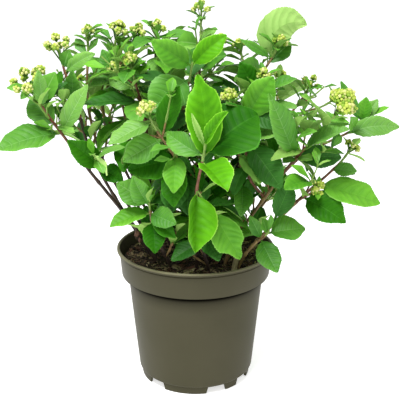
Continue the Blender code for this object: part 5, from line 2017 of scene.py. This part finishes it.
# %% Leaf form
BLADE, VEIN, UNDER, UNDER_RIB, MARGIN = range(5)
FINE_ACROSS = (-1.0, -0.96, -0.66, -0.32, -0.028, 0.028, 0.32, 0.66, 0.96, 1.0)
MEDIUM_ACROSS = (-1.0, -0.5, -0.05, 0.05, 0.5, 1.0)
SMALL_ACROSS = (-1.0, -0.08, 0.08, 1.0)
MARGIN_FROM = 0.9


class LeafForm(NamedTuple):
    """A leaf's form, with numbers for each of its points: the bulge is 0 on a vein and 1
    midway between two, the tooth is 1 on every other row, and the pinch is 1 where a
    vein's strip ends."""

    form: Form
    bulge: np.ndarray
    tooth: np.ndarray
    pinch: np.ndarray


def leaf_form(veins, between, columns):
    """A leaf with its side veins, from a grid whose columns stand at the given shares of
    the half width."""
    rows = leaf_rows(veins, between)
    made = bmesh.new()
    segments = {"x_segments": len(columns) - 1, "y_segments": len(rows) - 1}
    bmesh.ops.create_grid(made, size=0.5, **segments)
    below = bmesh.ops.duplicate(made, geom=made.verts[:] + made.edges[:] + made.faces[:])["geom"]
    below_verts = [g for g in below if isinstance(g, bmesh.types.BMVert)]
    bmesh.ops.reverse_faces(made, faces=[g for g in below if isinstance(g, bmesh.types.BMFace)])
    for vert in made.verts:
        inside = abs(vert.co.x) < 0.499 and abs(vert.co.y) < 0.499
        vert.co.z = 1.0 if inside else 0.0
    for vert in below_verts:
        vert.co.z = -vert.co.z
    bmesh.ops.remove_doubles(made, verts=made.verts, dist=0.0001)
    row_of = {}
    for vert in made.verts:
        row_of[vert] = round((vert.co.y + 0.5) * (len(rows) - 1))
        vert.co.x = columns[round((vert.co.x + 0.5) * (len(columns) - 1))]
        vert.co.y = rows[row_of[vert]].share
    rib_edge = columns[len(columns) // 2]

    def paint_of(face):
        middle = face.calc_center_median()
        first = min(row_of[vert] for vert in face.verts)
        rib = abs(middle.x) < rib_edge or rows[first].starts
        if middle.z > 0 and abs(middle.x) > columns[-2] > MARGIN_FROM:
            return MARGIN
        if middle.z > 0:
            return VEIN if rib else BLADE
        return UNDER_RIB if rib else UNDER

    bulge = np.array([rows[row_of[vert]].bulge for vert in made.verts])
    tooth = np.array([row_of[vert] % 2 for vert in made.verts], dtype=float)
    pinch = np.array([rows[row_of[vert]].ends for vert in made.verts], dtype=float)
    return LeafForm(form_of(made, paint_of), bulge, tooth, pinch)


fine_leaf = leaf_form(7, 4, FINE_ACROSS)
medium_leaf = leaf_form(5, 1, MEDIUM_ACROSS)
small_leaf = leaf_form(3, 1, SMALL_ACROSS)
for name, made_leaf in (("fine", fine_leaf), ("medium", medium_leaf), ("small", small_leaf)):
    print(name, "leaf:", len(made_leaf.form.sizes), "faces")

# %% [markdown]
# The large leaves of the front get the fine form, the other large ones the medium one, and
# the hundreds of small ones the small one. A leaf's own numbers bend its form: its arc, its fold
# along the midrib, the sweep of its veins, the quilting between them and the saw-toothed
# margin. Seeded chances add a ripple, a twist, uneven halves and a sideways curl, so that no two
# leaves are the same. Each leaf has a seeded tone, painted darker for the front's leaves, which
# the lamps light most, and lighter for the rest. Over it light and shade are painted: lighter
# towards the tip and margin and on the quilting, painted shade in the veins' valleys, and one
# half of the blade lighter than the other. That share is kept with its points.

# %% Outline of one leaf
OUTLINE_FOOT = (0.62, 0.78)
OUTLINE_TIP = (0.78, 0.9)
LONG_LEAF = 76.0
LONG_DRIP = 0.38
SHORT_DRIP = 0.16
UNEVEN = 0.1
WAVY = 0.035
WAVY_TURNS = 2.3


def outline_half(leaf, along, across, chance):
    """Half the width of a blade along it, with its drip tip and uneven halves."""
    foot, end = chance.uniform(*OUTLINE_FOOT), chance.uniform(*OUTLINE_TIP)
    peak = (foot / (foot + end)) ** foot * (end / (foot + end)) ** end
    blade = np.clip((along - leaf.aim.stalk) / (1.0 - leaf.aim.stalk), 0.0, 1.0)
    half = blade**foot * (1.0 - blade) ** end / peak * leaf.wide * leaf.aim.broad / 2
    drip = np.clip((along - 0.8) / 0.2, 0.0, 1.0)
    drawn_in = LONG_DRIP if leaf.length > LONG_LEAF else SHORT_DRIP
    half = half * (1.0 - drawn_in * drip * (1.0 - drip) * 4.0)
    uneven = chance.uniform(-UNEVEN, UNEVEN) * np.sign(across) * np.sin(math.pi * along)
    start = chance.uniform(0.0, 6.0)
    wavy = WAVY * np.sin(2 * math.pi * WAVY_TURNS * along + start + 1.7 * across)
    return half * (1.0 + uneven + wavy)


# %% Midrib of one leaf
CURL = 16.0


def curled_spine(leaf, along, chance):
    """A leaf's midrib, which curls in its own plane and bends down, and the directions
    out to the side and over the face at each of its points."""
    curl = math.radians(leaf.aim.curl or chance.uniform(-CURL, CURL)) or 0.001
    turn = math.radians(leaf.aim.turn)
    reach = leaf.length * leaf.aim.long * curl / 2 / math.sin(curl / 2)
    heading = turn + curl * (along - 0.5)
    ahead_by = reach * (np.sin(heading) - math.sin(turn - curl / 2)) / curl
    aside_by = reach * (math.cos(turn - curl / 2) - np.cos(heading)) / curl
    bend = math.radians(max(leaf.bend, 0.5)) / leaf.length
    root, ahead, up = (np.array(v) for v in (leaf.root, leaf.ahead, leaf.up))
    level = np.cross(ahead, up)
    arc_at = bend * ahead_by
    spine = root + np.outer(np.sin(arc_at) / bend, ahead) + np.outer(aside_by, level)
    spine = spine - np.outer((1.0 - np.cos(arc_at)) / bend, up)
    on = np.outer(np.cos(arc_at), ahead) - np.outer(np.sin(arc_at), up)
    out = np.outer(np.cos(heading), level) - on * np.sin(heading)[:, None]
    over = np.outer(np.cos(arc_at), up) + np.outer(np.sin(arc_at), ahead)
    return spine, out, over


# %% Points of one leaf
VEIN_SWEEP = 0.4
QUILT = 0.028
PINCH = 0.7
MIDRIB_SINK = 0.5
MIDRIB_REACH = 0.16
BLADE_THICK = 0.55
RIB_UNDER = 0.9
RIB_WIDE = 0.9
TOOTH = 0.85
TOOTH_AHEAD = 0.004
RIPPLE = 0.035
RIPPLE_WAVES = (1.4, 2.6)
TWIST = 10.0
ARCH = (0.0, 0.2)
TIP_HALF = 0.2
STALK_HALF = 0.8
# A leaf's seeded tone: painted darker for the front's leaves, which the lamps light most, and lighter
# for the others
LEAF_LIGHT = (0.1, 0.8)
SEEN_LIGHT = (0.08, 0.42)
# Painted light and shade: lighter towards the tip and margin and on the quilting, painted shade in
# the veins' valleys, and one half of the blade lit more than the other
PAINTED_TIP_LIGHT = 0.3
PAINTED_MARGIN_LIGHT = 0.2
PAINTED_VALLEY_SHADE = 0.16
PAINTED_HALF_LIGHT = 0.18


def drawn_leaf(leaf, leaf_shape, chance):
    """The points of one leaf in millimetres, and their tone with painted light and shade."""
    across, row, side = leaf_shape.form.points.T
    ramp = np.clip((row - PETIOLE_SHARE) / 0.25, 0.0, 1.0)
    ramp = ramp * ramp * (3.0 - 2.0 * ramp)
    away = np.abs(across)
    teeth = leaf_shape.tooth * (away > 0.99) * (row > PETIOLE_SHARE) * (row < 1.0)
    row = np.interp(row, (0.0, PETIOLE_SHARE, 1.0), (0.0, leaf.aim.stalk, 1.0))
    along = row - PINCH * VEIN_STRIP * away * leaf_shape.pinch + TOOTH_AHEAD * teeth
    along = along + VEIN_SWEEP * ramp * (1.0 - row) * away**1.3
    half = outline_half(leaf, along, across, chance)
    half = half + TOOTH * (1.0 if leaf.seen else 0.5) * teeth
    half = np.maximum(half, np.where(along > 0.5, TIP_HALF, STALK_HALF))

    phase = chance.uniform(0.0, 2 * math.pi)
    waves = chance.uniform(*RIPPLE_WAVES)
    ripple = RIPPLE * leaf.wide * np.sin(2 * math.pi * waves * along + phase + across) * away**2
    quilt = QUILT * leaf.wide * leaf_shape.bulge * (1.0 - away**2) * np.minimum(away * 4.0, 1.0)
    arch = chance.uniform(*ARCH) * half * 2.0 * away * (1.0 - away)
    sink = MIDRIB_SINK * np.exp(-((across / MIDRIB_REACH) ** 2)) * (1.0 - along)
    rib = RIB_UNDER * np.exp(-((across * half / RIB_WIDE) ** 2)) * (1.0 - along)
    rib = np.where(side < 0, rib, 0.0)
    through = side * BLADE_THICK / 2 + ripple + quilt + arch - sink - rib

    spine, level, face = curled_spine(leaf, along, chance)
    turn = math.radians(chance.uniform(-TWIST, TWIST)) * along + math.radians(leaf.aim.roll)
    out = level * np.cos(turn)[:, None] + face * np.sin(turn)[:, None]
    over = face * np.cos(turn)[:, None] - level * np.sin(turn)[:, None]
    fold = math.radians(leaf.fold)
    open_by = across * half * math.cos(fold)
    rise = (np.sqrt(away**2 + 0.01) - 0.1) * half * math.sin(fold) + through

    # Painted light and shade on the leaf's tone
    light = chance.uniform(*(SEEN_LIGHT if leaf.seen else LEAF_LIGHT))
    light = light + PAINTED_TIP_LIGHT * (along - 0.5) + PAINTED_MARGIN_LIGHT * (away**2 - 0.4)
    light = light + PAINTED_VALLEY_SHADE * (leaf_shape.bulge - 0.5) + PAINTED_HALF_LIGHT * across * math.sin(phase)
    return spine + out * open_by[:, None] + over * rise[:, None], light


# %% [markdown]
# ## Foliage
# Every leaf has its tone. The front's leaves have theirs from what shows there. The others take
# a tone by spray: a seeded choice for each twig, with deeper greens low down and inside the
# crown as painted shade, and softer and lighter ones near the top as painted light.

# %% Tones by spray
TONE_SEED = 8
SMALL_LEAF = 30.0
YOUNG_TONES = ("lively", "mid", "mid")
SHADE_TONES = ("deep", "deep", "rich", "mid")
SPRAY_REACH = 24.0
SHADE_TOP = 370.0
SHADE_DEPTH = 110.0
SHADE_RADIUS = 150.0
LOW_TOP = 300.0
LOW_DEPTH = 160.0
# How likely a tone is in full light, and how much more so in full shade
TONE_CHANCES = {
    "deep": (0.04, 1.0),
    "rich": (0.2, 0.6),
    "mid": (0.9, -0.4),
    "soft": (1.4, -1.9),
    "lively": (0.9, -1.2),
}
LEAST_CHANCE = 0.02
HEART_X = 16.0
HEART_REACH = 66.0
HEART_TOP = 288.0


def spray_tone(place, chance):
    """A tone for a spray of leaves that stands at a place: deeper greens where it stands in more
    shade, as painted shade.
    """
    under = min(1.0, max(0.0, (SHADE_TOP - place.z) / SHADE_DEPTH))
    inner = 1.0 - min(1.0, math.hypot(place.x, place.y) / SHADE_RADIUS)
    shade = inner * under + max(0.0, (LOW_TOP - place.z) / LOW_DEPTH)
    weights = [max(LEAST_CHANCE, lit + more * shade) for lit, more in TONE_CHANCES.values()]
    return chance.choices(list(TONE_CHANCES), weights)[0]


def in_heart(place):
    """True low in the middle of the crown, where dark greens paint the shade."""
    return abs(place.x - HEART_X) < HEART_REACH and place.z < HEART_TOP


def toned_leaves(leaves):
    """All leaves and leaflets by tone."""
    chance = random.Random(TONE_SEED)
    by_tone = {tone: [] for tone in TONES}
    for leaf in leaflets:
        by_tone[chance.choice(YOUNG_TONES)].append(leaf)
    for shoot in SHOOTS:
        spray = spray_tone(Vector(shoot.tip), chance)
        last_root = None
        for leaf in leaves[shoot.name]:
            if last_root is None or (leaf.root - last_root).length > SPRAY_REACH:
                spray = spray_tone(leaf.root, chance)
            last_root = leaf.root
            tone = leaf.aim.tone or spray
            # Low in the middle of the crown, dark greens paint the shade
            if not leaf.aim.tone and in_heart(leaf.root):
                tone = chance.choice(SHADE_TONES)
            if not leaf.aim.tone and leaf.length < SMALL_LEAF:
                tone = chance.choice(YOUNG_TONES)
            by_tone[tone].append(leaf)
    # The twigs in the shade take dark greens, as painted shade
    for leaf in shade_leaves:
        by_tone[chance.choice(SHADE_TONES)].append(leaf)
    return by_tone


# %% One piece for each tone
LEAF_SEED = 17
FORE_Y = -46.0
FINE_LEAF = 38.0
chance = random.Random(LEAF_SEED)
for tone, toned in toned_leaves(shown).items():
    copies = []
    lights = []
    for leaf in toned:
        shape = medium_leaf if leaf.length > SMALL_LEAF else small_leaf
        if leaf.seen or (leaf.root.y < FORE_Y and leaf.length > FINE_LEAF):
            shape = fine_leaf
        places, light = drawn_leaf(leaf, shape, chance)
        copies.append((shape.form, places, 0))
        lights.append(light)
    if copies:
        piece = joined(f"leaves_{tone}", copies, sharp=50.0, lightness=lights)
        finish(piece, leaf_paints(tone), "leaves", *MASSES)

# %% [markdown]
# ## Buds
# At each shoot's tip stands a panicle still in bud: domes of small round buds, cream and
# yellow-green, each on its own thread of a stalk. The buds are slightly pear-shaped, and are
# spread over each dome by the golden angle, as sunflower seeds are.

# %% Bud materials
BUD_TINTS = {
    "bud_cream": ("#94a83c", "#dede94"),
    "bud_yellow": ("#7c9c2c", "#c0d05c"),
    "bud_green": ("#56821c", "#90b440"),
    "bud_stalk": ("#45701e", "#6c9438"),
}
bud_paints = [make_leaf_surface(name, *tints, 0.45) for name, tints in BUD_TINTS.items()]
BUD_STALK = len(bud_paints) - 1
print("materials:", *BUD_TINTS)

# %% Bud form
BUD_LONG = 1.12
BUD_NARROW = 0.12


def bud_form():
    """A closed bud: a small ball drawn out to a blunt point."""
    made = bmesh.new()
    bmesh.ops.create_icosphere(made, subdivisions=2, radius=1.0)
    for vert in made.verts:
        vert.co.z *= BUD_LONG
        narrow = 1.0 - BUD_NARROW * max(0.0, vert.co.z)
        vert.co.x *= narrow
        vert.co.y *= narrow
    return form_of(made)


# %% Domes of buds
BUD_RADIUS = (1.6, 2.25)
BUD_PITCH = 4.5
LEAST_BUDS = 6
GOLDEN_ANGLE = math.pi * (3.0 - math.sqrt(5.0))
THREAD_STEPS = 2
THREAD_RADII = (0.4, 0.4)
THREAD_LIGHT = 0.3
BUD_STAND = (0.82, 1.12)
BUD_LIGHT = (0.1, 0.5)
BUD_TIP_LIGHT = 0.35
BUD_PAINTS = (0, 0, 1, 1, 2)
# How far a dome reaches down and where its stalks meet, in its radii
DOME_SPAN = 1.5
DOME_FOOT = 0.9
# Past this radius a dome has larger buds
LARGE_DOME = 8.0
LARGE_BUD = 1.2


def thread_copy(thread, line, radii):
    """A stalk or branch of a panicle, with its lightness."""
    rod = rod_copy(thread, THREAD_STEPS, line, radii, (), BUD_STALK)
    return rod, np.full(len(thread.points), THREAD_LIGHT)


def cluster_copies(middle, radius, axis, chance, ball, thread):
    """The buds of one dome and their stalks, each with its lightness."""
    copies = []
    turn = np.array(axis.to_track_quat("Z", "Y").to_matrix())
    count = max(LEAST_BUDS, int(2 * math.pi * radius**2 * DOME_SPAN / BUD_PITCH**2))
    foot = middle - axis * radius * DOME_FOOT
    for k in range(count):
        height = 1.0 - DOME_SPAN * (k + 0.5) / count
        out = math.sqrt(1.0 - height**2)
        angle = k * GOLDEN_ANGLE
        way = Vector(turn @ np.array((out * math.cos(angle), out * math.sin(angle), height)))
        size = chance.uniform(*BUD_RADIUS) * (LARGE_BUD if radius > LARGE_DOME else 1.0)
        place = middle + way * (radius - size) * chance.uniform(*BUD_STAND)
        aim = np.array(way.to_track_quat("Z", "Y").to_matrix())
        light = chance.uniform(*BUD_LIGHT) + BUD_TIP_LIGHT * ball.points[:, 2]
        paint = chance.choice(BUD_PAINTS)
        copies.append(((ball, (ball.points * size) @ aim.T + np.array(place), paint), light))
        copies.append(thread_copy(thread, [foot, foot.lerp(place, 0.5), place], THREAD_RADII))
    return copies


# %% Panicles
BUD_SEED = 5
BRANCH_RADII = (0.75, 0.525)
HEAD_RISE = 0.15
# Where the domes stand on a panicle, in its reaches, and how they lean and differ
TOP_DOME_UP = 0.35
SIDE_DOME_OUT = 0.6
SIDE_DOME_DROP = (-0.4, 0.3)
SIDE_DOME_TURN = 0.7
SIDE_DOME_SIZE = (0.7, 1.0)
LARGE_HEAD = 9.5
# How much wider a panicle is than its head, the share of a dome and the count of domes
LARGE_SHAPE = (1.0, 0.52, 5)
SMALL_SHAPE = (1.3, 0.46, 4)
OPEN_SHAPES = {
    "right": (1.0, 0.58, 6),
    "far_left": (2.1, 0.25, 7),
    "left": (1.6, 0.3, 6),
    "top": (1.7, 0.32, 5),
    "right_rear": (1.8, 0.28, 6),
    "mid_left": (1.6, 0.36, 5),
    "rear_left": (1.5, 0.38, 5),
}


def head_copies(shoot, chance, ball, thread):
    """The panicle of one shoot: a dome at its tip, and others on branches round it."""
    tip = Vector(shoot.tip)
    common = LARGE_SHAPE if shoot.head > LARGE_HEAD else SMALL_SHAPE
    wider, dome_share, domes = OPEN_SHAPES.get(shoot.name, common)
    reach = shoot.head * wider
    line = stems[shoot.name][0]
    way = (line[-1] - line[-2]).normalized()
    turn = way.to_track_quat("Z", "Y").to_matrix()
    radius = reach * dome_share
    foot = tip - way * reach
    tip = tip + way * reach * HEAD_RISE
    top = tip + way * reach * TOP_DOME_UP
    copies = cluster_copies(top, radius, way, chance, ball, thread)
    for i in range(domes):
        around = math.radians(shoot.roll) + 2 * math.pi * i / domes
        drop = chance.uniform(*SIDE_DOME_DROP)
        aside = turn @ Vector((math.cos(around), math.sin(around), drop))
        middle = tip + aside * reach * SIDE_DOME_OUT
        axis = (aside + way * SIDE_DOME_TURN).normalized()
        size = radius * chance.uniform(*SIDE_DOME_SIZE)
        copies += cluster_copies(middle, size, axis, chance, ball, thread)
        branch = [foot, foot.lerp(middle, 0.6) + way * 1.5, middle]
        copies.append(thread_copy(thread, branch, BRANCH_RADII))
    return copies


chance = random.Random(BUD_SEED)
ball = bud_form()
thread = rod_form(4, THREAD_STEPS)
heads = [shoot for shoot in SHOOTS if shoot.head]
bud_copies = [copy for shoot in heads for copy in head_copies(shoot, chance, ball, thread)]
bud_forms, bud_lights = zip(*bud_copies)
buds = joined("flower_buds", list(bud_forms), lightness=list(bud_lights))
finish(buds, bud_paints, "leaves", *MASSES)
print("panicles:", len(heads))
